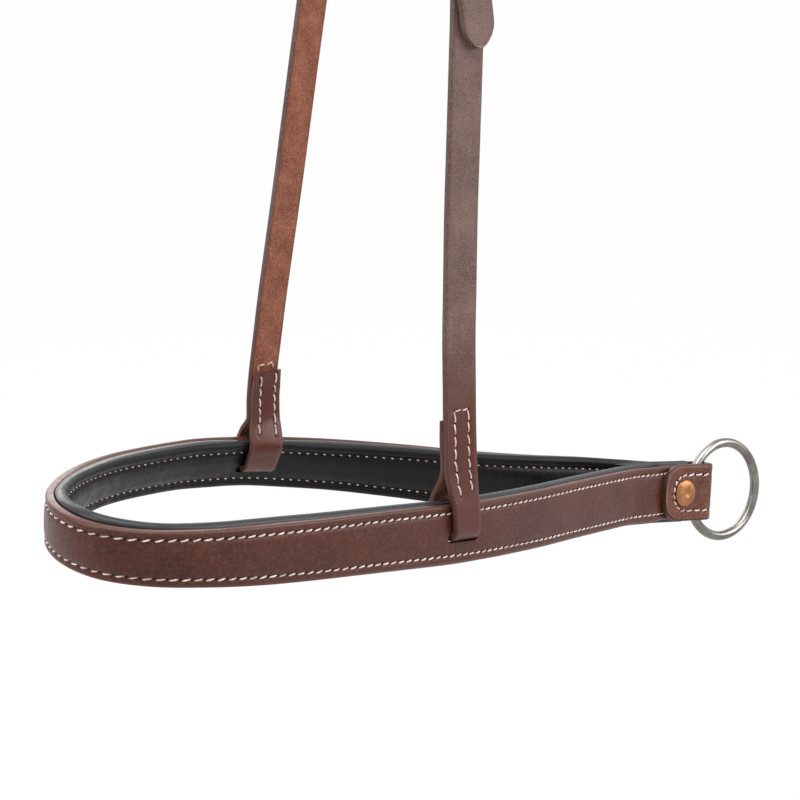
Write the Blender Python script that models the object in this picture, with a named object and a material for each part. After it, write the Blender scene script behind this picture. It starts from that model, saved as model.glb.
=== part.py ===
# Padded noseband with tie ring, hung from its headpiece.
# Leather straps are built as lofts along smooth paths; metal pieces from primitives.
# Lengths in this file are millimetres until place() turns them into metres.
# The tilted nose loop has its own frame: x towards the ring, y to the off side, z up through the band.
import bpy
import bmesh
import math
import numpy as np

# driving dimensions
RING_REACH = 204.5
NOSE_REACH = 166.5
END_FLAT = 15.0
HALF_GAP = 56.0
LOOP_PITCH = 11.9
RING_LIFT = 0.69
BAND_THICK = 3.4
BAND_WIDTH_RING = 26.8
BAND_WIDTH_NOSE = 23.4
PAD_DEPTH = 5.4
ROLL_RADIUS = 2.3
ROLL_STAND = 1.35
SKIN = 1.1
SEAM_IN = 4.0
LINING_START = 21.0
LINING_TAPER = 28.0
LINING_SKIVE = 0.08
CORE_START = 53.0
BAND_STEP = 12.0
STRAP_STEP = 22.0
STRAP_WIDTH = 16.0
STRAP_THICK = 2.6
CROWN_HEIGHT = 470.0
CROWN_AHEAD = 29.0
SLOT_SKEW = 13.4
HANGER_TURN = 10.0
RETURN_END = 47.0
CROWN_HALF_FLAT = 12.0
CROWN_CORNER = 15.0
BUCKLE_HEIGHT = 312.0
BILLET_DROP = 117.0
TAB_THICK = 3.0
TAB_LENGTH = 39.0
TAB_WIDTH = 28.0
TAB_FOLD_REACH = 14.6
RIVET_BACK = 8.2
RING_AHEAD = 26.3
RING_WIRE = 4.7
RING_OUTER = 52.0
RIVET_HEAD = 13.2
RIVET_SHANK = 4.0
BUCKLE_WIRE = 3.6
BUCKLE_OPENING = 20.0
KEEPER_WALL = 1.7
KEEPER_TALL = 9.0

# clearances
TOUCH = 0.3
SLOT_PLAY = 1.5
SLOT_DROP = 1.6
LOOP_PLAY = 1.35
SIDE_PLAY = 0.7
HOLE_PLAY = 0.35

for old in list(bpy.data.objects):
    bpy.data.objects.remove(old, do_unlink=True)
for old in list(bpy.data.collections):
    bpy.data.collections.remove(old)

pieces = bpy.data.collections.new("noseband")
cutters = bpy.data.collections.new("cutters")
bpy.context.scene.collection.children.link(pieces)
bpy.context.scene.collection.children.link(cutters)


def unit(v):
    v = np.asarray(v, float)
    return v / np.linalg.norm(v)


def spline(points, per_span=24):
    """Smooth curve through the points (chord length Catmull-Rom)."""
    p = [np.asarray(q, float) for q in points]
    p = [2 * p[0] - p[1]] + p + [2 * p[-1] - p[-2]]
    out = []
    for i in range(1, len(p) - 2):
        a, b, c, d = p[i - 1], p[i], p[i + 1], p[i + 2]
        t1 = np.linalg.norm(b - a) ** 0.5
        t2 = t1 + np.linalg.norm(c - b) ** 0.5
        t3 = t2 + np.linalg.norm(d - c) ** 0.5
        for k in range(per_span):
            t = t1 + (t2 - t1) * k / per_span
            a1 = (t1 - t) / t1 * a + t / t1 * b
            a2 = (t2 - t) / (t2 - t1) * b + (t - t1) / (t2 - t1) * c
            a3 = (t3 - t) / (t3 - t2) * c + (t - t2) / (t3 - t2) * d
            b1 = (t2 - t) / t2 * a1 + t / t2 * a2
            b2 = (t3 - t) / (t3 - t1) * a2 + (t - t1) / (t3 - t1) * a3
            out.append((t2 - t) / (t2 - t1) * b1 + (t - t1) / (t2 - t1) * b2)
    out.append(p[-2])
    return np.array(out)


def spread(hints, per_span):
    """Directions between the given ones, at the same steps as spline()."""
    h = [np.asarray(q, float) for q in hints]
    out = []
    for a, b in zip(h[:-1], h[1:]):
        for k in range(per_span):
            out.append(a + (b - a) * k / per_span)
    out.append(h[-1])
    return np.array(out)


def lengths(pts):
    return np.concatenate([[0], np.cumsum(np.linalg.norm(np.diff(pts[:, :3], axis=0), axis=1))])


def thin_out(pts, turn, longest):
    """Keep the samples where the path has turned or run far enough."""
    chosen = [0]
    run = 0.0
    bend = 0.0
    for i in range(1, len(pts) - 1):
        before = unit(pts[i, :3] - pts[i - 1, :3])
        after = unit(pts[i + 1, :3] - pts[i, :3])
        run += np.linalg.norm(pts[i, :3] - pts[i - 1, :3])
        bend += math.degrees(math.acos(min(1.0, float(before @ after))))
        if bend >= turn or run >= longest:
            chosen.append(i)
            run = 0.0
            bend = 0.0
    chosen.append(len(pts) - 1)
    return chosen


def material(name, colour, roughness, metallic=0.0):
    m = bpy.data.materials.new(name)
    m.use_nodes = True
    shader = m.node_tree.nodes["Principled BSDF"]
    shader.inputs["Base Color"].default_value = (*colour, 1.0)
    shader.inputs["Roughness"].default_value = roughness
    shader.inputs["Metallic"].default_value = metallic
    return m


def mesh_object(name, verts, faces, home=pieces):
    data = bpy.data.meshes.new(name)
    data.from_pydata([tuple(v) for v in verts], [], faces)
    bm = bmesh.new()
    bm.from_mesh(data)
    bmesh.ops.recalc_face_normals(bm, faces=bm.faces)
    if bm.calc_volume(signed=True) < 0:
        bmesh.ops.reverse_faces(bm, faces=bm.faces)
    bm.to_mesh(data)
    bm.free()
    ob = bpy.data.objects.new(name, data)
    home.objects.link(ob)
    if home is cutters:
        ob.hide_render = True
        ob.display_type = "WIRE"
    return ob


def loft(name, rings, home=pieces):
    """Closed skin over rings of points that all have the same count."""
    n = len(rings[0])
    verts = [v for ring in rings for v in ring]
    faces = [list(range(n))[::-1]]
    for i in range(len(rings) - 1):
        for j in range(n):
            k = (j + 1) % n
            faces.append([i * n + j, i * n + k, (i + 1) * n + k, (i + 1) * n + j])
    faces.append([(len(rings) - 1) * n + j for j in range(n)])
    return mesh_object(name, verts, faces, home)


def cut(target, cutter):
    mod = target.modifiers.new("cut", "BOOLEAN")
    mod.operation = "DIFFERENCE"
    mod.solver = "EXACT"
    mod.object = cutter


# plan of the nose loop: fractions of nose or ring reach, and of the half gap
NEAR_PLAN = (
    (0.775, -0.105), (0.662, -0.240), (0.527, -0.410), (0.343, -0.650), (0.169, -0.845),
    (0.064, -0.940), (-0.182, -1.080), (-0.471, -1.226), (-0.720, -1.303), (-0.870, -1.251),
    (-0.950, -1.104), (-0.980, -0.940), (-0.986, -0.688), (-0.957, -0.406))
FAR_PLAN = (
    (-0.893, -0.113), (-0.816, 0.149), (-0.727, 0.388), (-0.611, 0.622), (-0.379, 0.939),
    (-0.287, 1.022), (-0.094, 1.070), (0.102, 1.000), (0.280, 0.775), (0.424, 0.530),
    (0.549, 0.385), (0.692, 0.265), (0.797, 0.140))
NEAR_SLOT = 0.064
FAR_SLOT = -0.094
# lean of the band in degrees along its length: the off side lies with its top edge drawn in
LEAN_AT = (0.0, 0.24, 0.3, 0.36, 0.4, 0.43, 0.455, 0.48, 0.505, 0.53, 0.56, 0.59, 0.62, 0.66,
           0.77, 0.84, 0.91, 0.96, 1.0)
SIDE_LEANS = (-9.0, -8.5, -7.9, -2.1, 1.1, 0.1, 1.2, 4.0, 8.8, 14.8, 21.8, 27.3, 29.8, 30.3,
              30.0, 20.0, 3.0, -7.0, -9.0)
FRONT_LEANS = (0.0, 0.0, 0.0, 0.0, -17.5, -24.0, -24.0, -18.6, -13.3, -8.6, -4.2, -1.3, 0.0, 0.0,
               0.0, 0.0, 0.0, 0.0, 0.0)
LEAN_EASE = 12.0


def plan_point(fx, fy):
    reach = RING_REACH if fx > 0 else NOSE_REACH
    return (fx * reach, fy * HALF_GAP, 0.0)


def lift(x):
    """The ring end of the band curls up a little out of the loop plane."""
    past = max(0.0, x - RING_REACH * 0.73)
    return RING_LIFT * (past / (RING_REACH * 0.27)) ** 2


half = TOUCH / 2
BEND_AT = RING_REACH - END_FLAT * 1.8
TURN_AT = RING_REACH - END_FLAT * 1.27
FLAT_AT = RING_REACH - END_FLAT
HOLD_AT = RING_REACH - END_FLAT * 0.53
plan = [(RING_REACH, -half, 0.0), (HOLD_AT, -half, 0.0), (FLAT_AT, -half, 0.0)]
plan += [(TURN_AT, -half - 0.3, 0.0), (BEND_AT, -2.4, 0.0)]
plan += [plan_point(*p) for p in NEAR_PLAN + FAR_PLAN]
plan += [(BEND_AT, 2.6, 0.0), (TURN_AT, half + 0.3, 0.0)]
plan += [(FLAT_AT, half, 0.0), (HOLD_AT, half, 0.0), (RING_REACH, half, 0.0)]
fine = spline([(x, y, lift(x)) for x, y, z in plan])
along = lengths(fine)
total = along[-1]

tilt = math.radians(LOOP_PITCH)
LOOP_TO_WORLD = np.array([[math.cos(tilt), 0, math.sin(tilt)], [0, 1, 0],
                          [-math.sin(tilt), 0, math.cos(tilt)]])
SEAT = np.array([CROWN_AHEAD, 0.0, CROWN_HEIGHT - STRAP_THICK / 2])


def band_up(s):
    """Direction of the band's width, from the two leans eased over a short run to both sides."""
    near = (s + np.linspace(-LEAN_EASE, LEAN_EASE, 9)) / total
    side_lean = math.radians(np.mean(np.interp(near, LEAN_AT, SIDE_LEANS)))
    front_lean = math.radians(np.mean(np.interp(near, LEAN_AT, FRONT_LEANS)))
    x = math.sin(front_lean)
    y = -math.sin(side_lean)
    return np.array([x, y, math.sqrt(1 - x * x - y * y)])


def band_frame(s):
    """Point, tangent, outward normal and band direction at length s, in world directions."""
    point = np.array([np.interp(s, along, fine[:, k]) for k in range(3)])
    a = np.array([np.interp(s - 0.6, along, fine[:, k]) for k in range(3)])
    b = np.array([np.interp(s + 0.6, along, fine[:, k]) for k in range(3)])
    tangent = unit(b - a)
    up = band_up(s)
    out = unit(np.cross(up, tangent))
    return [LOOP_TO_WORLD @ v for v in (point, tangent, out, up)]


def band_width(s):
    share = 0.5 - 0.5 * math.cos(2 * math.pi * np.clip(s / total, 0, 1))
    return BAND_WIDTH_RING + (BAND_WIDTH_NOSE - BAND_WIDTH_RING) * share


def slot_length(fx, side):
    want = fx * (RING_REACH if fx > 0 else NOSE_REACH)
    best = None
    for i in range(len(fine)):
        if side * fine[i, 1] > HALF_GAP * 0.5:
            miss = abs(fine[i, 0] - want)
            if best is None or miss < best[0]:
                best = (miss, along[i])
    return best[1]


NEAR_AT = slot_length(NEAR_SLOT, -1)
FAR_AT = slot_length(FAR_SLOT, 1)


def near_slot_share(s):
    gap = min(abs(s - NEAR_AT), abs(s - FAR_AT))
    return 1.0 - 0.8 * math.exp(-(gap / 18.0) ** 2)


def band_section(s):
    h = band_width(s) / 2
    g = TOUCH / 2
    r = 1.1
    t = BAND_THICK
    lower = [(g, -h + 0.4), (g + 0.4, -h), (g + t - r, -h), (g + t - 0.3, -h + r * 0.45),
             (g + t, -h + r * 1.2)]
    return lower + [(n, -b) for n, b in lower[::-1]]


def pad_depth(s):
    return PAD_DEPTH * near_slot_share(s) + 3.3 * (1 - near_slot_share(s))


def lining_section(s, taper=1.0):
    h = band_width(s) / 2
    g = TOUCH / 2
    r = ROLL_RADIUS
    top = h + ROLL_STAND
    c = top - r
    deep = pad_depth(s)
    row = h - SEAM_IN
    inner = row - 1.3
    half_side = [(-g, inner), (-g, c + 0.2)]
    for deg in (20, 65, 110, 155, 200):
        a = math.radians(deg)
        half_side.append((-g - r + r * math.cos(a), c + r * math.sin(a)))
    half_side += [(-g - 1.75 * r, row + 1.5), (-g - 2.3, row), (-g - (deep + 3.0) / 2, row - 1.8),
                  (-g - deep * 0.95, row * 0.45)]
    middle = [(-g - deep, 0.0)]
    bottom = [(n, -b) for n, b in half_side[::-1]]
    roof = -g - deep * 0.95 + SKIN
    hollow = [(roof, -row * 0.45), (-g - deep + SKIN, 0.0), (roof, row * 0.45)]
    ring = half_side + middle + bottom + hollow
    squeeze = taper * (0.7 + 0.3 * near_slot_share(s))
    return [(-g + (n + g) * squeeze, b) for n, b in ring]


def core_section(s):
    h = band_width(s) / 2
    g = TOUCH / 2
    deep = (pad_depth(s) - SKIN) * (0.7 + 0.3 * near_slot_share(s)) - TOUCH * 1.5
    row = h - SEAM_IN
    inner = row - 1.3 - 1.8
    return [(-g, -inner), (-g, inner), (-g - 0.35, inner), (-g - deep * 0.86, row * 0.40),
            (-g - deep, 0.0), (-g - deep * 0.86, -row * 0.40), (-g - 0.35, -inner)]


def place(v):
    return (np.asarray(v, float) - SEAT) / 1000.0


def band_ring(s, section):
    point, tangent, out, up = band_frame(s)
    return [place(point + out * n + up * b) for n, b in section]


picks = thin_out(fine, 4.5, BAND_STEP)
stops = sorted(set([along[i] for i in picks]))
TWIST_STEP = 1.0
for a, b in list(zip(stops[:-1], stops[1:])):
    turned_by = math.degrees(math.acos(min(1.0, float(band_up(a) @ band_up(b)))))
    parts = int(turned_by // TWIST_STEP) + 1
    stops += [a + (b - a) * k / parts for k in range(1, parts)]
stops = sorted(stops)


def between(lo, hi):
    return [lo] + [s for s in stops if lo + 2.0 < s < hi - 2.0] + [hi]


strap_stops = between(0.0, total)
nose_strap = loft("nose_strap", [band_ring(s, band_section(s)) for s in strap_stops])

lining_stops = between(LINING_START, total - LINING_START)


def end_taper(s):
    gap = min(s - LINING_START, total - LINING_START - s)
    return LINING_SKIVE + (1 - LINING_SKIVE) * min(1.0, gap / LINING_TAPER)


for share in (0.27, 0.59):
    lining_stops += [LINING_START + LINING_TAPER * share, total - LINING_START - LINING_TAPER * share]
lining_stops = sorted(set(lining_stops))
nose_lining = loft("nose_lining", [band_ring(s, lining_section(s, end_taper(s))) for s in lining_stops])

core_stops = between(CORE_START, total - CORE_START)
nose_pad_core = loft("nose_pad_core", [band_ring(s, core_section(s)) for s in core_stops])


def stadium(half_long, half_high, steps=5):
    pts = []
    for centre, start in ((half_long - half_high, -90), (-(half_long - half_high), 90)):
        for k in range(steps + 1):
            a = math.radians(start + 180 * k / steps)
            pts.append((centre + half_high * math.cos(a), half_high * math.sin(a)))
    return pts


def slot_cutter(name, s, half_long, half_high, front, back):
    point, tangent, out, up = band_frame(s)
    up = unit(up - (up @ tangent) * tangent)
    rings = []
    for n in (front, back):
        rings.append([place(point + out * n + tangent * a + up * (b - SLOT_DROP))
                      for a, b in stadium(half_long, half_high)])
    return loft(name, rings, cutters)


SLOT_HALF_LONG = STRAP_WIDTH / 2 + 2.0
SLOT_HALF_HIGH = STRAP_THICK / 2 + SLOT_PLAY
for label, where in (("near", NEAR_AT), ("far", FAR_AT)):
    tool = slot_cutter("slot_cut_" + label, where, SLOT_HALF_LONG, SLOT_HALF_HIGH, 12.0, -12.0)
    for target in (nose_strap, nose_lining, nose_pad_core):
        cut(target, tool)


# headpiece straps
def strap_section(half_wide, half_thick, edge=0.5):
    a, h, c = half_wide, half_thick, edge
    c = min(c, a * 0.6)
    right = [(a, -h + c), (a, h - c), (a - c, h)]
    left = [(-a + c, h), (-a, h - c), (-a, -h + c), (-a + c, -h)]
    return right + left + [(a - c, -h)]


def strap(name, path, sides, tip_start=0.0, tip_end=0.0):
    """Strap along a path; sides gives the width direction; tips are rounded where a length is given."""
    path = np.asarray(path)
    sides = np.asarray(sides)
    run = lengths(path)
    whole = run[-1]
    marks = set(run[i] for i in thin_out(path, 9.0, STRAP_STEP))
    for tip, at_end in ((tip_start, False), (tip_end, True)):
        if tip > 0:
            near = [m for m in marks if (whole - m if at_end else m) < tip * 1.15]
            marks -= set(near)
            for share in (0.0, 0.06, 0.18, 0.38, 0.66, 1.0):
                marks.add(whole - tip * share if at_end else tip * share)
    marks = sorted(marks)
    rings = []
    for m in marks:
        p = np.array([np.interp(m, run, path[:, k]) for k in range(3)])
        a = np.array([np.interp(m - 0.4, run, path[:, k]) for k in range(3)])
        b = np.array([np.interp(m + 0.4, run, path[:, k]) for k in range(3)])
        tangent = unit(b - a)
        side = np.array([np.interp(m, run, sides[:, k]) for k in range(3)])
        side = unit(side - (side @ tangent) * tangent)
        normal = np.cross(tangent, side)
        wide = STRAP_WIDTH / 2
        for tip, gap in ((tip_start, m), (tip_end, whole - m)):
            if tip > 0 and gap < tip:
                wide = min(wide, STRAP_WIDTH / 2 * (0.22 + 0.78 * math.sqrt(1 - (1 - gap / tip) ** 2)))
        rings.append([place(p + side * u + normal * v) for u, v in strap_section(wide, STRAP_THICK / 2)])
    return loft(name, rings)


def hanging(z, side):
    """Centre of the cheek strap at height z above the slots."""
    share = z / CROWN_HEIGHT
    heights = (0, 0.085, 0.170, 0.277, 0.404, 0.457, 0.851, 1.021)
    draw = (0.0, 0.061, 0.143, 0.238, 0.333, 0.373, 0.543, 0.562)
    drift = (-0.017, -0.010, 0.097, 0.276, 0.497, 0.586, 1.0, 1.0)
    skew = (1.0, 1.0, 0.975, 0.937, 0.9, 0.875, 0.0, 0.0)
    x = CROWN_AHEAD * np.interp(share, heights, drift) - side * SLOT_SKEW * np.interp(share, heights, skew)
    y = side * (HALF_GAP + 1.5 - HALF_GAP * np.interp(share, heights, draw))
    return np.array([x, y, z])


def hanger_side(side):
    """Width direction of a hanging strap; the off side strap is turned a little about its own length."""
    a = math.radians(HANGER_TURN) if side > 0 else 0.0
    return np.array([math.cos(a), math.sin(a), 0.0])


def loop_points(s):
    """Cheek strap loop round the upper half of the band, outer layer first."""
    point, tangent, out, up = band_frame(s)
    rise = unit(np.cross(out, np.array([1.0, 0.0, 0.0])))
    if rise[2] < 0:
        rise = -rise
    half_t = STRAP_THICK / 2
    outer = TOUCH / 2 + BAND_THICK + LOOP_PLAY + half_t
    inner = -(TOUCH / 2 + ROLL_RADIUS * 2 * 0.8 + LOOP_PLAY + half_t)
    top = band_width(s) / 2 + ROLL_STAND
    low = -SLOT_DROP
    down = [(outer - 0.35, top + 1.0), (outer, top - 4.0), (outer, low + 6.4), (outer - 0.5, low + 2.9),
            (outer - 2.3, low + 0.5), (outer - 5.0, low)]
    back = [(inner + 5.0, low), (inner + 2.3, low + 0.5), (inner + 0.5, low + 2.9), (inner, low + 6.4),
            (inner, top - 4.0), (inner + 0.5, top + 1.0)]
    spots = [(b, point + out * n + rise * b) for n, b in down + back]
    level = unit(np.cross(out, rise))
    if level @ tangent < 0:
        level = -level
    if tangent[0] < 0:
        tangent = -tangent
        level = -level
    return spots, tangent, level


# cheek strap on the near side, from the buckle down round the band
def hanging_out(z, side):
    ahead = hanging(z + 4, side) - hanging(z - 4, side)
    along_strap = unit(ahead)
    return unit(np.cross(along_strap, hanger_side(side)) * side), along_strap


half_t = STRAP_THICK / 2
BAR = BUCKLE_WIRE / 2
layer = half_t + TOUCH / 2
wrap = BAR + TOUCH + half_t
heel_outer, strap_up = hanging_out(BUCKLE_HEIGHT, -1)
heel = hanging(BUCKLE_HEIGHT, -1) - heel_outer * layer


def at_buckle(o, u):
    return heel + heel_outer * o + strap_up * u


def end_loop(s, side, up_to):
    """Down the hanger, round the band and up against the inner face of the hanger again."""
    spots, tangent, level = loop_points(s)
    path = [hanging(z, side) for z in (up_to, up_to * 0.74, up_to * 0.53)]
    hints = [hanger_side(side)] * 3
    for b, spot in spots:
        share = min(1.0, max(0.0, (b + SLOT_DROP - 3.0) / 12.0))
        path.append(spot)
        hints.append(unit(tangent * (1 - share) + level * share))
    for z, more in ((up_to * 0.53, 0.6), (up_to * 0.74, 0.0), (up_to, 0.0)):
        face, run = hanging_out(z, side)
        path.append(hanging(z, side) - face * (layer * 2 + more))
        hints.append(hanger_side(side))
    return path, hints


near_path, near_hints = end_loop(NEAR_AT, -1, RETURN_END)
high = []
for u, o in ((-34.0, -layer), (-16.0, -layer), (-8.0, -layer - 0.5), (-3.0, -wrap + 0.15), (0.0, -wrap)):
    high.append(at_buckle(o, u))
turnover = [at_buckle(-wrap * math.cos(a), wrap * math.sin(a)) for a in np.radians((45, 90, 135))]
low = []
for u, o in ((0.0, wrap), (-3.0, wrap - 0.15), (-8.0, layer + 0.5), (-16.0, layer)):
    low.append(at_buckle(o, u))
chain = high + turnover + low
for share in (0.833, 0.689, 0.609, 0.513, 0.417, 0.321, 0.256, 0.192):
    chain.append(hanging(BUCKLE_HEIGHT * share, -1))
hints = [np.array([1.0, 0, 0])] * len(chain)
near_fine = spline(chain + near_path, 10)
near_sides = spread(hints + near_hints, 10)
cheek_strap = strap("cheek_strap", near_fine, near_sides)

# crown strap: billet tip, buckle crossing, over the poll, down the off side and round the band
drop = []
billet_lie = layer + STRAP_THICK + TOUCH
over_heel = wrap + half_t + TOUCH + half_t + 0.1
under_top = -(BAR + TOUCH + half_t)
rise_top = BUCKLE_OPENING + 2 * BAR
leave = math.radians(26)
for u, o, shift in ((-BILLET_DROP, billet_lie + 1.2, 2.4), (-BILLET_DROP + 14.0, billet_lie + 0.5, 1.6),
                    (-BILLET_DROP * 0.76, billet_lie, 0.2), (-BILLET_DROP * 0.53, billet_lie, 0.0),
                    (-BILLET_DROP * 0.34, billet_lie, 0.0), (-18.0, billet_lie, 0.0),
                    (-9.0, billet_lie + 0.7, 0.0), (-2.5, over_heel, 0.0), (0.5, over_heel, 0.0),
                    (over_heel * math.sin(leave), over_heel * math.cos(leave), 0.0),
                    (rise_top * 0.41, over_heel * 0.37, 0.0), (rise_top * 0.7, under_top * 0.35, 0.0),
                    (rise_top - 2.6, under_top + 0.3, 0.0), (rise_top, under_top, 0.0),
                    (rise_top + 7.0, under_top + 0.2, 0.0)):
    drop.append(at_buckle(o, u) + np.array([shift, 0.0, 0.0]))
crown = list(drop)
centre_z = CROWN_HEIGHT - CROWN_CORNER
above_buckle = BUCKLE_HEIGHT + rise_top + 7.0
for share in (0.29, 0.55):
    crown.append(hanging(above_buckle + (centre_z - above_buckle) * share, -1) + np.array([0.0, 0.4, 0.0]))
lean_x = SEAT[0]
for side in (-1, 1):
    degrees = (0, 30, 60, 90) if side < 0 else (90, 60, 30, 0)
    for deg in degrees:
        a = math.radians(deg)
        crown.append(np.array([lean_x, side * (CROWN_HALF_FLAT + CROWN_CORNER * math.cos(a)),
                               centre_z + CROWN_CORNER * math.sin(a)]))
    if side < 0:
        crown.append(np.array([lean_x, 0.0, CROWN_HEIGHT]))
for share in (0.862, 0.723, 0.574, 0.457, 0.404, 0.340, 0.277, 0.213, 0.170, 0.128):
    crown.append(hanging(CROWN_HEIGHT * share, 1))
far_path, far_hints = end_loop(FAR_AT, 1, RETURN_END)
ahead = np.array([1.0, 0.0, 0.0])
hints = [ahead] * (len(crown) - 10)
hints += [unit(ahead * (1 - k) + hanger_side(1) * k) for k in [0, 0.2, 0.6] + [1] * 7]
crown_fine = spline(crown + far_path, 10)
crown_sides = spread(hints + far_hints, 10)
flat = (np.abs(crown_fine[:, 1]) < CROWN_HALF_FLAT + 0.01) & (crown_fine[:, 2] > CROWN_HEIGHT - 8)
crown_fine[flat, 2] = CROWN_HEIGHT
crown_fine[flat, 0] = lean_x
crown_strap = strap("crown_strap", crown_fine, crown_sides, tip_start=9.0)


def prism(name, outline, origin, a, b, c, lo, hi, home=pieces):
    """Outline in directions a and b, pushed from lo to hi along c."""
    rings = [[place(origin + a * x + b * y + c * d) for x, y in outline] for d in (lo, hi)]
    return loft(name, rings, home)


def circle(radius, steps=16, cx=0.0, cy=0.0):
    return [(cx + radius * math.cos(2 * math.pi * k / steps), cy + radius * math.sin(2 * math.pi * k / steps))
            for k in range(steps)]


# punched holes down the billet; the buckle tongue sits in the stretched one
across = np.array([1.0, 0.0, 0.0])
across = unit(across - (across @ strap_up) * strap_up)
for number, u in enumerate((-88.0, -66.0, -30.0)):
    tool = prism("billet_hole_%d" % number, circle(1.9, 12), at_buckle(0, u), across, strap_up, heel_outer,
                 billet_lie - 2.2, billet_lie + 4.0, cutters)
    cut(crown_strap, tool)
tool = prism("tongue_hole", [(y, x) for x, y in stadium(6.2, 2.1)], at_buckle(0, 8.0), across, strap_up,
             heel_outer, -1.0, 9.0, cutters)
cut(crown_strap, tool)
tool = prism("chape_slot", [(y, x) for x, y in stadium(9.0, 2.4)], at_buckle(0, 1.0), across, strap_up,
             heel_outer, -9.0, 9.0, cutters)
cut(cheek_strap, tool)


# buckle frame: rounded rectangle of wire
def wire_loop(name, centres, radius, steps=10, flat_axis=None, flat_share=1.0):
    centres = np.asarray(centres)
    n = len(centres)
    axis = unit(np.cross(centres[1] - centres[0], centres[n // 3] - centres[0]))
    verts = []
    faces = []
    for i in range(n):
        tangent = unit(centres[(i + 1) % n] - centres[i - 1])
        side = unit(np.cross(tangent, axis))
        before = unit(centres[i] - centres[i - 1])
        stretch = 1.0 / max(0.5, float(before @ tangent))
        for k in range(steps):
            a = 2 * math.pi * (k + 0.5) / steps
            verts.append(place(centres[i] + side * radius * stretch * math.cos(a)
                               + axis * radius * flat_share * math.sin(a)))
    for i in range(n):
        for k in range(steps):
            m = (k + 1) % steps
            j = (i + 1) % n
            faces.append([i * steps + k, i * steps + m, j * steps + m, j * steps + k])
    return mesh_object(name, verts, faces)


buckle_half = STRAP_WIDTH / 2 + SIDE_PLAY + BAR
corner = 3.2
outline = []
wide_of = buckle_half - corner
for cx, cy, start in ((wide_of, rise_top - corner, 0), (-wide_of, rise_top - corner, 90),
                      (-wide_of, corner, 180), (wide_of, corner, 270)):
    for k in range(4):
        a = math.radians(start + 30 * k)
        outline.append((cx + corner * math.cos(a), cy + corner * math.sin(a)))
buckle_frame = wire_loop("buckle_frame", [at_buckle(0, y) + across * x for x, y in outline], BAR)

# tongue: an eye round the heel bar and a flat pin that rests on the far bar
eye = BAR + TOUCH
skin_eye = 1.7
pin_low = BAR + TOUCH
pin_high = pin_low + 2.0
tongue_outline = [(pin_low + 0.05, 5.0), (pin_low + 0.05, rise_top + 2.2), (pin_low + 0.9, rise_top + 3.1),
                  (pin_high, rise_top + 1.6), (pin_high + 0.0, 5.0), (eye + skin_eye, 1.6)]
for deg in (0, -30, -60, -90, -120, -150, -180, -210, -240):
    a = math.radians(deg)
    tongue_outline.append(((eye + skin_eye) * math.cos(a), (eye + skin_eye) * math.sin(a)))
tongue_outline.append(((eye + 0.9) * math.cos(math.radians(100)), 4.4))
buckle_tongue = prism("buckle_tongue", tongue_outline, at_buckle(0, 0), heel_outer, strap_up, across,
                      -1.3, 1.3)
tool = prism("tongue_eye", circle(eye, 20), at_buckle(0, 0), heel_outer, strap_up, across, -4.0, 4.0, cutters)
cut(buckle_tongue, tool)


def rounded(lo, hi, half_wide, r, steps=3):
    pts = []
    for cx, cy, start in ((hi - r, half_wide - r, 0), (lo + r, half_wide - r, 90),
                          (lo + r, -half_wide + r, 180), (hi - r, -half_wide + r, 270)):
        for k in range(steps + 1):
            a = math.radians(start + 90 * k / steps)
            pts.append((cx + r * math.cos(a), cy + r * math.sin(a)))
    return pts


def sleeve(name, lo, hi, half_wide, wall, u, tall):
    """Keeper: a short leather sleeve round the straps."""
    inner = rounded(lo, hi, half_wide, 0.7)
    outer = rounded(lo - wall, hi + wall, half_wide + wall, 0.7 + wall)
    n = len(inner)
    edge = 0.35
    verts = []
    for outline, level in ((inner, u - tall / 2), (outer, u - tall / 2 + edge), (outer, u + tall / 2 - edge),
                           (inner, u + tall / 2)):
        for o, w in outline:
            verts.append(place(at_buckle(o, level) + across * w))
    faces = []
    for r in range(4):
        for k in range(n):
            m = (k + 1) % n
            q = (r + 1) % 4
            faces.append([r * n + k, r * n + m, q * n + m, q * n + k])
    return mesh_object(name, verts, faces)


keeper_half = STRAP_WIDTH / 2 + 0.5
lie_out = billet_lie + half_t + 0.5
fixed_keeper = sleeve("fixed_keeper", -layer - half_t - 0.35, lie_out, keeper_half, KEEPER_WALL, -24.0,
                      KEEPER_TALL)
SLIDE_AT = -62.0
sliding_keeper = sleeve("sliding_keeper", layer - half_t - 0.5, lie_out, keeper_half, KEEPER_WALL, SLIDE_AT,
                        KEEPER_TALL)

# folded tab that holds the ring, over both ends of the nose strap
ring_x = -band_frame(0.0)[1]
ring_z = band_frame(0.0)[3]
ring_z = unit(ring_z - (ring_z @ ring_x) * ring_x)
ring_y = np.cross(ring_z, ring_x)
tab_origin = LOOP_TO_WORLD @ np.array([RING_REACH, 0.0, lift(RING_REACH)])
stack = TOUCH / 2 + BAND_THICK + TOUCH + TAB_THICK / 2
fold_in = TAB_FOLD_REACH - TAB_THICK / 2
tab_back = TAB_LENGTH - TAB_FOLD_REACH


def band_offset(gap, side):
    """Outer face of the nose strap at a distance before its end, in tab directions."""
    s = gap if side < 0 else total - gap
    point, tangent, out, up = band_frame(s)
    p = point + out * stack - tab_origin
    return np.array([p @ ring_x, p @ ring_y])


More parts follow.
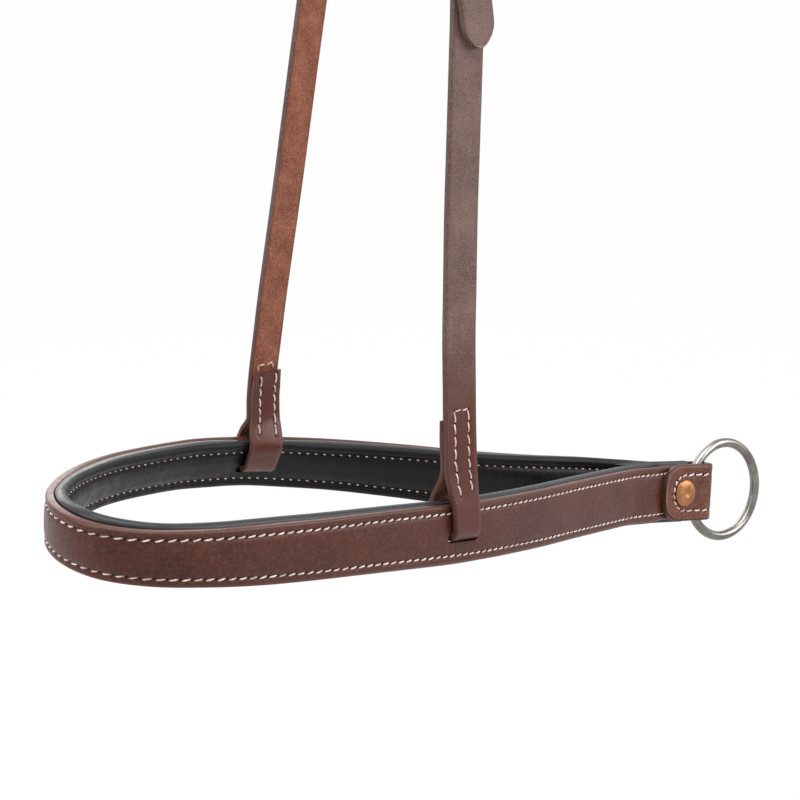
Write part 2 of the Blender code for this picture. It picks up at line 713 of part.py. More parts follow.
tab_path = []
for share in (1.0, 0.85, 0.6, 0.35, 0.1):
    tab_path.append(band_offset(tab_back * share, -1))
bend = stack + 0.25
for deg in (-90, -55, -20, 0, 20, 55, 90):
    a = math.radians(deg)
    tab_path.append(np.array([fold_in - bend + bend * math.cos(a), bend * math.sin(a)]))
for share in (0.1, 0.35, 0.6, 0.85, 1.0):
    tab_path.append(band_offset(tab_back * share, 1))
tab_fine = spline([np.array([p[0], p[1], 0.0]) for p in tab_path], 8)
run = lengths(tab_fine)
marks = set(run[i] for i in thin_out(tab_fine, 14.0, 14.0))
marks = set(m for m in marks if 12.5 < m < run[-1] - 12.5)
for share in (0.0, 0.06, 0.18, 0.38, 0.66, 1.0):
    marks.add(12.0 * share)
    marks.add(run[-1] - 12.0 * share)
rings = []
for m in sorted(marks):
    p = np.array([np.interp(m, run, tab_fine[:, k]) for k in range(2)])
    a = np.array([np.interp(m - 0.4, run, tab_fine[:, k]) for k in range(2)])
    b = np.array([np.interp(m + 0.4, run, tab_fine[:, k]) for k in range(2)])
    tangent = unit(b - a)
    tangent = ring_x * tangent[0] + ring_y * tangent[1]
    normal = np.cross(ring_z, tangent)
    gap = min(m, run[-1] - m)
    wide = TAB_WIDTH / 2
    if gap < 12.0:
        wide *= 0.3 + 0.7 * math.sqrt(1 - (1 - gap / 12.0) ** 2)
    centre = tab_origin + ring_x * p[0] + ring_y * p[1]
    outline = strap_section(wide, TAB_THICK / 2, 0.7)
    rings.append([place(centre + ring_z * w + normal * v) for w, v in outline])
ring_tab = loft("ring_tab", rings)

# copper rivet through tab and both strap ends
rivet_at = tab_origin - ring_x * RIVET_BACK
tool = prism("rivet_hole", circle(RIVET_SHANK / 2 + HOLE_PLAY, 20), rivet_at, ring_x, ring_z, ring_y,
             -20.0, 20.0, cutters)
for target in (nose_strap, ring_tab):
    cut(target, tool)
face = stack + TAB_THICK / 2 + 0.25


def turned(name, profile, origin, axis, side, steps=28):
    """Solid of revolution: profile of (distance along axis, radius), closed on the axis at both ends."""
    other = np.cross(axis, side)
    rings = []
    for d, r in profile:
        rings.append([place(origin + axis * d + side * r * math.cos(2 * math.pi * k / steps)
                            + other * r * math.sin(2 * math.pi * k / steps)) for k in range(steps)])
    return loft(name, rings)


head = RIVET_HEAD / 2
near_axis = -ring_y
rivet = turned("rivet", [(-face - 2.2, 1.1), (-face - 1.9, RIVET_SHANK / 2), (face + 0.05, RIVET_SHANK / 2),
                         (face + 0.05, head - 0.3), (face + 0.5, head), (face + 1.1, head - 0.5),
                         (face + 1.7, head - 1.9), (face + 2.0, head - 3.6), (face + 1.9, 1.5),
                         (face + 1.5, 0.5)],
               rivet_at, near_axis, ring_x)

burr_in = RIVET_SHANK / 2 + 0.15
steps = 28
verts = []
faces = []
profile = [(face + 0.1, burr_in), (face + 0.1, head - 0.8), (face + 0.4, head - 0.5),
           (face + 1.1, head - 0.7), (face + 1.3, head - 1.2), (face + 1.3, burr_in)]
for k in range(steps):
    a = 2 * math.pi * k / steps
    for d, r in profile:
        verts.append(place(rivet_at + ring_y * d + ring_x * r * math.cos(a) + ring_z * r * math.sin(a)))
m = len(profile)
for k in range(steps):
    j = (k + 1) % steps
    for i in range(m):
        q = (i + 1) % m
        faces.append([k * m + i, k * m + q, j * m + q, j * m + i])
rivet_burr = mesh_object("rivet_burr", verts, faces)

# ring through the fold
ring_mid = RING_OUTER / 2 - RING_WIRE / 2
ring_centre = tab_origin + ring_x * RING_AHEAD
centres = []
for k in range(56):
    a = 2 * math.pi * k / 56
    centres.append(ring_centre + ring_x * ring_mid * math.cos(a) + ring_z * ring_mid * math.sin(a))
tie_ring = wire_loop("tie_ring", centres, RING_WIRE / 2, 12)

brown = material("brown_leather", (0.075, 0.030, 0.022), 0.42)
dark = material("black_lining_leather", (0.018, 0.018, 0.020), 0.38)
flesh = material("strap_leather", (0.10, 0.055, 0.042), 0.5)
foam = material("pad_foam", (0.35, 0.33, 0.28), 0.9)
steel = material("satin_steel", (0.55, 0.54, 0.52), 0.32, 1.0)
copper = material("copper", (0.62, 0.30, 0.13), 0.35, 1.0)
tab_leather = material("tab_leather", (0.070, 0.030, 0.023), 0.45)
billet_leather = material("crown_leather", (0.12, 0.070, 0.052), 0.5)
rivet_burr_copper = material("burr_copper", (0.55, 0.27, 0.12), 0.45, 1.0)
looks = ((nose_strap, brown), (nose_lining, dark), (nose_pad_core, foam), (cheek_strap, flesh),
         (crown_strap, billet_leather), (buckle_frame, steel), (buckle_tongue, steel), (fixed_keeper, flesh),
         (sliding_keeper, flesh), (ring_tab, tab_leather), (rivet, copper), (rivet_burr, rivet_burr_copper),
         (tie_ring, steel))
for ob, look in looks:
    ob.data.materials.append(look.copy() if look.users else look)
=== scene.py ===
# Padded noseband with tie ring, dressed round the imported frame.
# Lengths are millimetres in the part's own working frame until place() turns them into metres.
import bpy
import math
import numpy as np
from mathutils import Matrix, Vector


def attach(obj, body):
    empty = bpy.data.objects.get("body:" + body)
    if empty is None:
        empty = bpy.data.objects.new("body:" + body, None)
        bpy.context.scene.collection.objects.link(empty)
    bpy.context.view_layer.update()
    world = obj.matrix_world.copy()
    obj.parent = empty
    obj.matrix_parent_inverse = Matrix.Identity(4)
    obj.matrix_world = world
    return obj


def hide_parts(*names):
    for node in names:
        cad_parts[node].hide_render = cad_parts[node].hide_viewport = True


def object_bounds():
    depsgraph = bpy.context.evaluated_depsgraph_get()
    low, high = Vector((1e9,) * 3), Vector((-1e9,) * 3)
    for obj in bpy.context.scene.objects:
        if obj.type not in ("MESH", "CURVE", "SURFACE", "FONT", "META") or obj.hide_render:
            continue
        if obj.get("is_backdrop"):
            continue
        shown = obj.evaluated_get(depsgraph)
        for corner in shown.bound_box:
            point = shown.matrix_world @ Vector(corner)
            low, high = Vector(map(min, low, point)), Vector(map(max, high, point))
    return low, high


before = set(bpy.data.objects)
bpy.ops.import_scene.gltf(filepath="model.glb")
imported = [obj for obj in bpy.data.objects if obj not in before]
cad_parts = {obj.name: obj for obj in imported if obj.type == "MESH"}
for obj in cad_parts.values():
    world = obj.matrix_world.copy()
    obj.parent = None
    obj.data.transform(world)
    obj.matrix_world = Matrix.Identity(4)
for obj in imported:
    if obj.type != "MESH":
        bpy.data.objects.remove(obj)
cad_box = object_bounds()
scene = bpy.context.scene

# sizes of the part, as its source has them
RING_REACH = 204.5
NOSE_REACH = 166.5
END_FLAT = 15.0
HALF_GAP = 56.0
LOOP_PITCH = 11.9
RING_LIFT = 0.69
BAND_THICK = 3.4
BAND_WIDTH_RING = 26.8
BAND_WIDTH_NOSE = 23.4
PAD_DEPTH = 5.4
SLOT_PAD = 3.3
ROLL_RADIUS = 2.3
ROLL_STAND = 1.35
LINING_START = 21.0
LINING_TAPER = 28.0
LINING_SKIVE = 0.08
STRAP_WIDTH = 16.0
STRAP_THICK = 2.6
CROWN_HEIGHT = 470.0
CROWN_AHEAD = 29.0
SLOT_SKEW = 13.4
HANGER_TURN = 10.0
RETURN_END = 47.0
CROWN_HALF_FLAT = 12.0
CROWN_CORNER = 15.0
BUCKLE_HEIGHT = 312.0
BILLET_DROP = 117.0
BILLET_TIP = 10.0
SKIVE = 7.0
TAB_THICK = 3.0
TAB_LENGTH = 39.0
TAB_WIDTH = 28.0
TAB_FOLD_REACH = 14.6
RIVET_BACK = 8.2
RING_AHEAD = 26.3
RING_WIRE = 4.7
RING_OUTER = 52.0
RIVET_HEAD = 13.2
RIVET_SHANK = 4.0
BUCKLE_WIRE = 3.6
BUCKLE_OPENING = 20.0
BUCKLE_CORNER = 3.2
KEEPER_WALL = 1.7
KEEPER_TALL = 9.0
KEEPER_AT = -24.0
SLIDE_AT = -62.0
TOUCH = 0.3
SLOT_PLAY = 0.6
LINING_SLOT_PLAY = 1.7
SLOT_DROP = 1.6
LOOP_PLAY = 1.35
SIDE_PLAY = 0.7
SEAT = np.array([CROWN_AHEAD, 0.0, CROWN_HEIGHT - STRAP_THICK / 2])

# sewing: lengths of the stitches, how far the rows lie in from the edge, and how far a row marks the leather
BAND_PITCH = 5.0
PITCH_AT = (0.0, 0.15, 0.3, 0.42, 0.58, 0.7, 0.85, 1.0)
BAND_PITCHES = (3.8, 4.1, 4.6, BAND_PITCH, BAND_PITCH, 4.6, 4.1, 3.8)
STRAP_PITCH = 4.9
TAB_PITCH = 5.2
TAB_TURN_PITCH = 3.4
BAND_ROW_IN = 3.6
LINING_ROW_IN = 4.0
STRAP_ROW = 3.5
SEWN_FROM = 14.0
THREAD_SHIFT = 0.05
SEAM_REACH = 6.0


def unit(v):
    v = np.asarray(v, float)
    return v / np.linalg.norm(v, axis=-1, keepdims=True)


def place(v):
    return (np.asarray(v, float) - SEAT) / 1000.0


def spline(points, per_span=24):
    """Smooth curve through the points, the same as the part's source draws."""
    p = [np.asarray(q, float) for q in points]
    p = [2 * p[0] - p[1]] + p + [2 * p[-1] - p[-2]]
    out = []
    for a, b, c, d in zip(p, p[1:], p[2:], p[3:]):
        t1 = np.linalg.norm(b - a) ** 0.5
        t2 = t1 + np.linalg.norm(c - b) ** 0.5
        t3 = t2 + np.linalg.norm(d - c) ** 0.5
        t = (t1 + (t2 - t1) * np.arange(per_span) / per_span)[:, None]
        a1 = (t1 - t) / t1 * a + t / t1 * b
        a2 = (t2 - t) / (t2 - t1) * b + (t - t1) / (t2 - t1) * c
        a3 = (t3 - t) / (t3 - t2) * c + (t - t2) / (t3 - t2) * d
        b1 = (t2 - t) / t2 * a1 + t / t2 * a2
        b2 = (t3 - t) / (t3 - t1) * a2 + (t - t1) / (t3 - t1) * a3
        out.append((t2 - t) / (t2 - t1) * b1 + (t - t1) / (t2 - t1) * b2)
    return np.concatenate(out + [p[-2][None]])


def spread(hints, per_span):
    h = np.array(hints, float)
    steps = np.arange(per_span)[:, None] / per_span
    return np.concatenate([a + (b - a) * steps for a, b in zip(h[:-1], h[1:])] + [h[-1:]])


def lengths(pts):
    return np.concatenate([[0], np.cumsum(np.linalg.norm(np.diff(pts, axis=0), axis=1))])


def follow(s, run, pts):
    return np.stack([np.interp(s, run, pts[:, k]) for k in range(pts.shape[1])], axis=-1)


def heading(s, run, pts, reach=0.8):
    return unit(follow(s + reach, run, pts) - follow(s - reach, run, pts))


def circle(steps):
    return 2 * math.pi * np.arange(steps) / steps


def arc(x, y, radius, degrees):
    """Points of a circle round x, y."""
    return [(x + radius * math.cos(a), y + radius * math.sin(a)) for a in np.radians(degrees)]


def rounded_box(low_x, high_x, low_y, high_y, radius, steps):
    """Points round a box with round corners, each with its outward direction."""
    out = []
    for x, y, start in ((high_x - radius, high_y - radius, 0), (low_x + radius, high_y - radius, 90),
                        (low_x + radius, low_y + radius, 180), (high_x - radius, low_y + radius, 270)):
        for a in np.radians(start + np.linspace(0, 90, steps + 1)):
            out.append((x + radius * math.cos(a), y + radius * math.sin(a), math.cos(a), math.sin(a)))
    return out


def stadium(radius, half_long, steps):
    turns = np.linspace(-90, 90, steps + 1)
    return arc(half_long, 0.0, radius, turns) + arc(-half_long, 0.0, radius, turns + 180)


# course of the nose band
NEAR_PLAN = (
    (0.775, -0.105), (0.662, -0.240), (0.527, -0.410), (0.343, -0.650), (0.169, -0.845),
    (0.064, -0.940), (-0.182, -1.080), (-0.471, -1.226), (-0.720, -1.303), (-0.870, -1.251),
    (-0.950, -1.104), (-0.980, -0.940), (-0.986, -0.688), (-0.957, -0.406))
FAR_PLAN = (
    (-0.893, -0.113), (-0.816, 0.149), (-0.727, 0.388), (-0.611, 0.622), (-0.379, 0.939),
    (-0.287, 1.022), (-0.094, 1.070), (0.102, 1.000), (0.280, 0.775), (0.424, 0.530),
    (0.549, 0.385), (0.692, 0.265), (0.797, 0.140))
NEAR_SLOT = 0.064
FAR_SLOT = -0.094
# lean of the band in degrees along its length: the off side and the nose lie with their top edge drawn in
LEAN_AT = (0.0, 0.24, 0.3, 0.36, 0.4, 0.43, 0.455, 0.48, 0.505, 0.53, 0.56, 0.59, 0.62, 0.66,
           0.77, 0.84, 0.91, 0.96, 1.0)
SIDE_LEANS = (-9.0, -8.5, -7.9, -2.1, 1.1, 0.1, 1.2, 4.0, 8.8, 14.8, 21.8, 27.3, 29.8, 30.3,
              30.0, 20.0, 3.0, -7.0, -9.0)
FRONT_LEANS = (0.0, 0.0, 0.0, 0.0, -17.5, -24.0, -24.0, -18.6, -13.3, -8.6, -4.2, -1.3, 0.0, 0.0,
               0.0, 0.0, 0.0, 0.0, 0.0)
LEAN_EASE = 12.0
gap = TOUCH / 2
outer = gap + BAND_THICK
plan = [(RING_REACH, -gap), (RING_REACH - END_FLAT * 0.53, -gap), (RING_REACH - END_FLAT, -gap),
        (RING_REACH - END_FLAT * 1.27, -gap - 0.3), (RING_REACH - END_FLAT * 1.8, -2.4)]
for fx, fy in NEAR_PLAN + FAR_PLAN:
    plan.append((fx * (RING_REACH if fx > 0 else NOSE_REACH), fy * HALF_GAP))
plan += [(RING_REACH - END_FLAT * 1.8, 2.6), (RING_REACH - END_FLAT * 1.27, gap + 0.3),
         (RING_REACH - END_FLAT, gap), (RING_REACH - END_FLAT * 0.53, gap), (RING_REACH, gap)]


def lift(x):
    past = max(0.0, x - RING_REACH * 0.73)
    return RING_LIFT * (past / (RING_REACH * 0.27)) ** 2


band_line = spline([(x, y, lift(x)) for x, y in plan])
band_run = lengths(band_line)
total = band_run[-1]
tilt = math.radians(LOOP_PITCH)
LOOP_TO_WORLD = np.array([[math.cos(tilt), 0, math.sin(tilt)], [0, 1, 0], [-math.sin(tilt), 0, math.cos(tilt)]])


def band_up(s):
    """Direction of the band's width, from the two leans eased over a short run to both sides."""
    near = (s[:, None] + np.linspace(-LEAN_EASE, LEAN_EASE, 9)) / total
    x = np.sin(np.radians(np.interp(near, LEAN_AT, FRONT_LEANS).mean(axis=1)))
    y = -np.sin(np.radians(np.interp(near, LEAN_AT, SIDE_LEANS).mean(axis=1)))
    return np.stack([x, y, np.sqrt(1 - x * x - y * y)], axis=-1)


def band_frames(s, reach=1.6):
    """Points, tangents, outward normals and band directions at lengths s."""
    s = np.asarray(s, float)
    tangent = heading(s, band_run, band_line, reach)
    up = band_up(s)
    out = unit(np.cross(up, tangent))
    return [v @ LOOP_TO_WORLD.T for v in (follow(s, band_run, band_line), tangent, out, up)]


def band_frame(s):
    return [v[0] for v in band_frames([s], 0.6)]


def band_half(s):
    share = 0.5 - 0.5 * np.cos(2 * math.pi * np.clip(s / total, 0, 1))
    return (BAND_WIDTH_RING + (BAND_WIDTH_NOSE - BAND_WIDTH_RING) * share) / 2


def slot_length(fx, side):
    want = fx * (RING_REACH if fx > 0 else NOSE_REACH)
    side_on = side * band_line[:, 1] > HALF_GAP * 0.5
    return band_run[int(np.argmin(np.where(side_on, np.abs(band_line[:, 0] - want), 1e9)))]


NEAR_AT = slot_length(NEAR_SLOT, -1)
FAR_AT = slot_length(FAR_SLOT, 1)


def away_from_slot(s):
    near = np.minimum(np.abs(s - NEAR_AT), np.abs(s - FAR_AT))
    return 1.0 - 0.8 * np.exp(-(near / 18.0) ** 2)


# leather and metal

def linear(text):
    """sRGB hex to the linear colour that a shader takes."""
    parts = [int(text[i:i + 2], 16) / 255 for i in (0, 2, 4)]
    return (*(c / 12.92 if c <= 0.04045 else ((c + 0.055) / 1.055) ** 2.4 for c in parts), 1.0)


def add(tree, kind, links=None, **settings):
    """Adds a node, sets it up and joins its inputs; a node given as an input stands for its result."""
    node = tree.nodes.new(kind if "Node" in kind else "ShaderNode" + kind)
    for key, value in settings.items():
        setattr(node, key, value)
    for key, value in (links or {}).items():
        if isinstance(value, bpy.types.Node):
            value = next(socket for socket in value.outputs if socket.enabled)
        if isinstance(value, bpy.types.NodeSocket):
            tree.links.new(value, node.inputs[key])
        else:
            node.inputs[key].default_value = value
    return node


# settings that many nodes share
SMOOTH = {"interpolation_type": "SMOOTHSTEP"}
COLOURS = {"data_type": "RGBA"}
TIMES = {"operation": "MULTIPLY"}
LESS = {"operation": "SUBTRACT"}


def new_material(name):
    material = bpy.data.materials.new(name)
    material.use_nodes = True
    tree = material.node_tree
    return material, tree, add(tree, "TexCoord").outputs["Object"]


def lay_on(tree, colour, *layers):
    """Lays colours over one another: pattern, two of its values, the new colour's share at each, that colour."""
    for pattern, low, high, at_low, at_high, over in layers:
        share = add(tree, "MapRange", {0: pattern, 1: low, 2: high, 3: at_low, 4: at_high}, **SMOOTH)
        colour = add(tree, "Mix", {0: share, 6: colour, 7: linear(over)}, **COLOURS)
    return colour


def dress(tree, colour, relief, strength, depth, matt, fixed):
    """Joins colour, relief and roughness to the shader and sets what is the same all over."""
    shader = tree.nodes["Principled BSDF"]
    bump = add(tree, "Bump", {"Strength": strength, "Distance": depth / 1000, "Height": relief})
    for socket, result in (("Base Color", colour.outputs[2]), ("Normal", bump.outputs[0]),
                           ("Roughness", matt.outputs[0])):
        tree.links.new(result, shader.inputs[socket])
    for socket, value in fixed.items():
        shader.inputs[socket].default_value = value


# sizes of the patterns in millimetres; pores and fibres are drawn coarser than the real ones so that they show,
# and so is the thread's lay
DYE_CLOUD = 26.0
DYE_FLECK = 1.2
RUB_MARK = 4.5
FIBRE = 0.8
FLESH_CLOUD = 9.0
THREAD_SOIL = 3.3333
PLY = 0.69813
TARNISH = 9.0909
HOLE_LONG = 0.5
HOLE_WIDE = 0.6
# colour of the painted shade in the awl holes
HOLE_SHADE = "24140f"
# wrinkles to each pebble of the grain
WRINKLES = 0.45
# heights in metres between which the headpiece loses its bloom, the share it loses and the roughness with it
BLOOM_ENDS = -0.435
BLOOM_FULL = -0.375
BLOOM_LOST = 0.88
BLOOM_SHINE = 0.1


def leather(name, deep, body, wear_and_highlight, rough, gloss, grain, grain_depth, pitch=BAND_PITCH, creased=0.0, rim_gloss=0.08,
            rim_wear_and_highlight=0.5, crossed=1.0, mottle=0.3, at_loops=None):
    """Dyed leather: cloudy dye, a fine pebbled grain, awl holes with painted shade in them and along the row, painted
    shade in a crease line where creased, and a rim lightened by rubbing, which on the lining's rolls is a painted
    highlight.
    """
    material, tree, coords = new_material(name)
    lie = add(tree, "Mapping", {"Vector": coords, "Scale": (1.0, 1.0, crossed)})
    cloud, fleck, rub, wrinkle = [
        add(tree, "TexNoise", {"Vector": where, "Scale": scale, "Detail": detail, "Roughness": ragged})
        for where, scale, detail, ragged in (
            (coords, 1000 / DYE_CLOUD, 5.0, 0.6), (lie, 1000 / DYE_FLECK, 4.0, 0.75),
            (coords, 1000 / RUB_MARK, 4.0, 0.65), (lie, 1000 * WRINKLES / grain, 6.0, 0.7))]
    pores = add(tree, "TexVoronoi", {"Vector": lie, "Scale": 1000 / grain, "Randomness": 1.0}, feature="SMOOTH_F1")
    # the last of these is the grain: fine light creases between the pebbles
    colour = lay_on(tree, linear(deep), (cloud, 0.32, 0.68, 0.0, 1.0, body), (rub, 0.42, 0.75, 0.0, mottle * 0.6, wear_and_highlight),
                    (fleck, 0.45, 0.7, 0.0, mottle, wear_and_highlight), (fleck, 0.3, 0.5, mottle, 0.0, deep),
                    (pores, 0.3, 0.75, 0.0, mottle * 1.8, wear_and_highlight))
    if at_loops:
        # the loops rub on the band, so the bloom is gone there and the dye shows
        height = add(tree, "SeparateXYZ", {0: coords}).outputs["Z"]
        bare = add(tree, "MapRange", {0: height, 1: BLOOM_ENDS, 2: BLOOM_FULL, 3: BLOOM_LOST, 4: 0.0}, **SMOOTH)
        colour = add(tree, "Mix", {0: bare, 6: colour, 7: linear(at_loops)}, **COLOURS)
    # seam: 6 on the row falling to 0 six millimetres away; beat: whole numbers at the awl holes; rim: 6 at the edge,
    # which on the lining is the crest of its rolls, lightened there as a painted highlight
    seam, beat, rim = [add(tree, "Attribute", attribute_name=mark).outputs["Fac"] for mark in ("seam", "beat", "rim")]
    off = add(tree, "Math", {0: SEAM_REACH, 1: seam}, **LESS)
    across, along = off, beat
    for operation, number in (("DIVIDE", HOLE_WIDE), ("POWER", 2.0)):
        across = add(tree, "Math", {0: across, 1: number}, operation=operation)
    for operation, number in (("ADD", 0.5), ("FLOORED_MODULO", 1.0), ("SUBTRACT", 0.5),
                              ("MULTIPLY", pitch / HOLE_LONG), ("POWER", 2.0)):
        along = add(tree, "Math", {0: along, 1: number}, operation=operation)
    from_hole = add(tree, "Math", {0: along, 1: across})
    # the first and last layers are painted shade: darker along the sewn row and darkest in the awl holes
    colour = lay_on(tree, colour, (off, 0.3, 1.3, 0.22, 0.0, deep), (rim, 3.9, 5.8, 0.0, rim_wear_and_highlight, wear_and_highlight),
                    (from_hole, 0.3, 2.2, 1.0, 0.0, HOLE_SHADE))
    pebbles = add(tree, "Math", {0: pores, 1: 0.6}, **TIMES)
    relief = add(tree, "Math", {0: pebbles, 1: wrinkle})
    sunk = add(tree, "MapRange", {0: from_hole, 1: 0.3, 2: 2.2, 3: 4.0, 4: 0.0}, **SMOOTH)
    relief = add(tree, "Math", {0: relief, 1: sunk}, **LESS)
    if creased:
        beside = add(tree, "Math", {0: rim, 1: SEAM_REACH - creased}, **LESS)
        beside = add(tree, "Math", {0: beside}, operation="ABSOLUTE")
        pressed = add(tree, "MapRange", {0: beside, 1: 0.0, 2: 0.5, 3: 1.4, 4: 0.0}, **SMOOTH)
        relief = add(tree, "Math", {0: relief, 1: pressed}, **LESS)
        # painted shade along the crease line
        colour = lay_on(tree, colour, (beside, 0.0, 0.5, 0.3, 0.0, deep))
    matt = add(tree, "MapRange", {0: rub, 1: 0.3, 2: 0.7, 3: rough - 0.06, 4: rough + 0.08}, **SMOOTH)
    rubbed = add(tree, "MapRange", {0: rim, 1: 3.9, 2: 5.8, 3: 0.0, 4: rim_gloss}, **SMOOTH)
    matt = add(tree, "Math", {0: matt, 1: rubbed}, **LESS)
    if at_loops:
        polished = add(tree, "Math", {0: bare, 1: BLOOM_SHINE}, **TIMES)
        matt = add(tree, "Math", {0: matt, 1: polished}, **LESS)
    dress(tree, colour, relief, 0.6, grain_depth, matt, {"Specular IOR Level": gloss})
    return material


def raw_leather(name, dark, light, pale):
    """Flesh side: undyed fibres, matt and slightly furry."""
    material, tree, coords = new_material(name)
    fibres = add(tree, "TexNoise", {"Vector": coords, "Scale": 1000 / FIBRE, "Detail": 6.0, "Roughness": 0.75})
    cloud = add(tree, "TexNoise", {"Vector": coords, "Scale": 1000 / FLESH_CLOUD, "Detail": 5.0, "Roughness": 0.6})
    rim = add(tree, "Attribute", attribute_name="rim").outputs["Fac"]
    colour = lay_on(tree, linear(dark), (cloud, 0.3, 0.7, 0.0, 1.0, light), (fibres, 0.48, 0.66, 0.0, 0.7, pale),
                    (fibres, 0.34, 0.5, 0.6, 0.0, dark), (rim, 4.0, 5.9, 0.0, 0.8, dark))
    matt = add(tree, "MapRange", {0: fibres, 1: 0.3, 2: 0.7, 3: 0.75, 4: 0.9}, **SMOOTH)
    dress(tree, colour, fibres, 0.7, 0.3, matt, {"Specular IOR Level": 0.2, "Sheen Weight": 0.08})
    return material


def thread(name, dark, light):
    """Waxed linen: two plies laid up with a right-hand twist."""
    material, tree, coords = new_material(name)
    twist = add(tree, "TexWave", {"Vector": coords, "Scale": 200 * math.pi / PLY, "Distortion": 2.0, "Detail": 1.0},
                bands_direction="DIAGONAL").outputs["Fac"]
    soil = add(tree, "TexNoise", {"Vector": coords, "Scale": 1000 / THREAD_SOIL, "Detail": 3.0})
    colour = lay_on(tree, linear(light), (soil, 0.3, 0.7, 0.0, 1.0, dark))
    matt = add(tree, "MapRange", {0: soil, 1: 0.3, 2: 0.7, 3: 0.6, 4: 0.75}, **SMOOTH)
    dress(tree, colour, twist, 0.5, 0.1, matt, {"Specular IOR Level": 0.3})
    return material


def metal(name, dark, light, rough, lay, lay_strength):
    """Solid metal: a fine polishing lay and faint clouds of tarnish."""
    material, tree, coords = new_material(name)
    scratch = add(tree, "TexNoise", {"Vector": coords, "Scale": 1000 / lay, "Detail": 4.0, "Roughness": 0.7})
    cloud = add(tree, "TexNoise", {"Vector": coords, "Scale": 1000 / TARNISH, "Detail": 4.0, "Roughness": 0.6})
    colour = lay_on(tree, linear(dark), (cloud, 0.3, 0.7, 0.0, 1.0, light))
    matt = add(tree, "MapRange", {0: cloud, 1: 0.3, 2: 0.7, 3: rough - 0.05, 4: rough + 0.06}, **SMOOTH)
    dress(tree, colour, scratch, lay_strength, 0.1, matt, {"Metallic": 1.0})
    return material


# bridle leather: vegetable tanned, dyed dark brown, waxed and glazed, so it is deep red-brown with a soft shine
BAND_GRAIN = leather("waxed_bridle_leather", "3a1a12", "4a221a", "744b3f", 0.38, 0.23, 1.1, 0.16, mottle=0.12)
# its cut edges are burnished with gum, so they are darker and smoother than the face
BAND_EDGE = leather("burnished_band_edge", "26120e", "3d211b", "5e3b32", 0.38, 0.22, 1.2, 0.05, mottle=0.2)
# the headpiece is the same hide with more tallow on it, which leaves a grey bloom, and a grain that runs across
HANGER_GRAIN = leather("waxed_cheek_leather", "4c362f", "684f47", "8a7067", 0.40, 0.25, 0.9, 0.14,
                       pitch=STRAP_PITCH, creased=1.2, crossed=4.5, mottle=0.26, rim_wear_and_highlight=0.2, at_loops="4c1c12")
HANGER_EDGE = leather("burnished_cheek_edge", "3b2c28", "56443f", "705d57", 0.48, 0.16, 1.2, 0.08,
                      pitch=STRAP_PITCH, mottle=0.3, rim_wear_and_highlight=0.2, at_loops="461c12")
# the tab is the plain hide again, handled most, with its edge dyed nearly black
TAB_GRAIN = leather("waxed_tab_leather", "3a1a12", "5e3024", "8a6052", 0.38, 0.24, 1.0, 0.14, pitch=TAB_PITCH,
                    mottle=0.16)
TAB_EDGE = leather("burnished_tab_edge", "170b09", "2a1612", "4a2d25", 0.42, 0.2, 1.2, 0.05, mottle=0.2)
# the back of the hide is left raw, so it is furry, matt and lighter
FLESH = raw_leather("flesh_side_leather", "6a3626", "8c543e", "a8775f")
# chrome tanned calf: thin, soft and dyed black right through, shiny only where it is pulled over the rolls, whose
# crests are lightened with a painted highlight
LINING = leather("black_lining_calf", "09090a", "101012", "404044", 0.46, 0.17, 0.6, 0.02, rim_gloss=0.2,
                 mottle=0.06, rim_wear_and_highlight=0.6)
# linen drawn through beeswax: off-white and a little stained by the dye
THREAD = thread("waxed_linen_thread", "b3978b", "e8d8ce")
# rivet copper is cold headed and left bare, so it is brown-pink with soft reflections
COPPER = metal("cold_headed_copper", "8a5c3e", "ad7b53", 0.38, 0.5, 0.08)
# stainless wire, welded and tumbled: grey and satin
STEEL = metal("tumbled_stainless_steel", "6f6b66", "8c8883", 0.22, 1.5, 0.01)


def skin(name, grid, materials, marks=(), zones=None, smooth=38.0, ring_closed=False):
    """Closed skin over rows of points in millimetres, each row a closed outline; zones give each column's material."""
    rows, n = grid.shape[:2]
    zones = [0] * n if zones is None else zones
    cap = min(1, len(materials) - 1)
    faces = [] if ring_closed else [list(range(n))[::-1]]
    slots = [] if ring_closed else [cap]
    for i in range(rows if ring_closed else rows - 1):
        q = (i + 1) % rows
        for j in range(n):
            k = (j + 1) % n
            faces.append([i * n + j, i * n + k, q * n + k, q * n + j])
            slots.append(int(zones[j]))
    if not ring_closed:
        faces.append(list(range((rows - 1) * n, rows * n)))
        slots.append(cap)
    data = bpy.data.meshes.new(name)
    verts = place(grid.reshape(-1, 3))
    data.from_pydata(verts.tolist(), [], faces)
    data.update()
    data.calc_loop_triangles()
    tri = np.empty(len(data.loop_triangles) * 3, int)
    data.loop_triangles.foreach_get("vertices", tri)
    t = verts[tri.reshape(-1, 3)]
    if np.einsum("ij,ij->i", t[:, 0], np.cross(t[:, 1], t[:, 2])).sum() < 0:
        data.flip_normals()
    for material in materials:
        data.materials.append(material)
    data.polygons.foreach_set("material_index", np.array(slots, dtype=np.int32))
    for key, values in zip(("seam", "beat", "rim"), marks):
        layer = data.attributes.new(key, "FLOAT", "POINT")
        layer.data.foreach_set("value", np.asarray(values, dtype=np.float32).reshape(-1))
    data.shade_smooth()
    data.set_sharp_from_angle(angle=math.radians(smooth))
    ob = bpy.data.objects.new(name, data)
    scene.collection.objects.link(ob)
    return ob


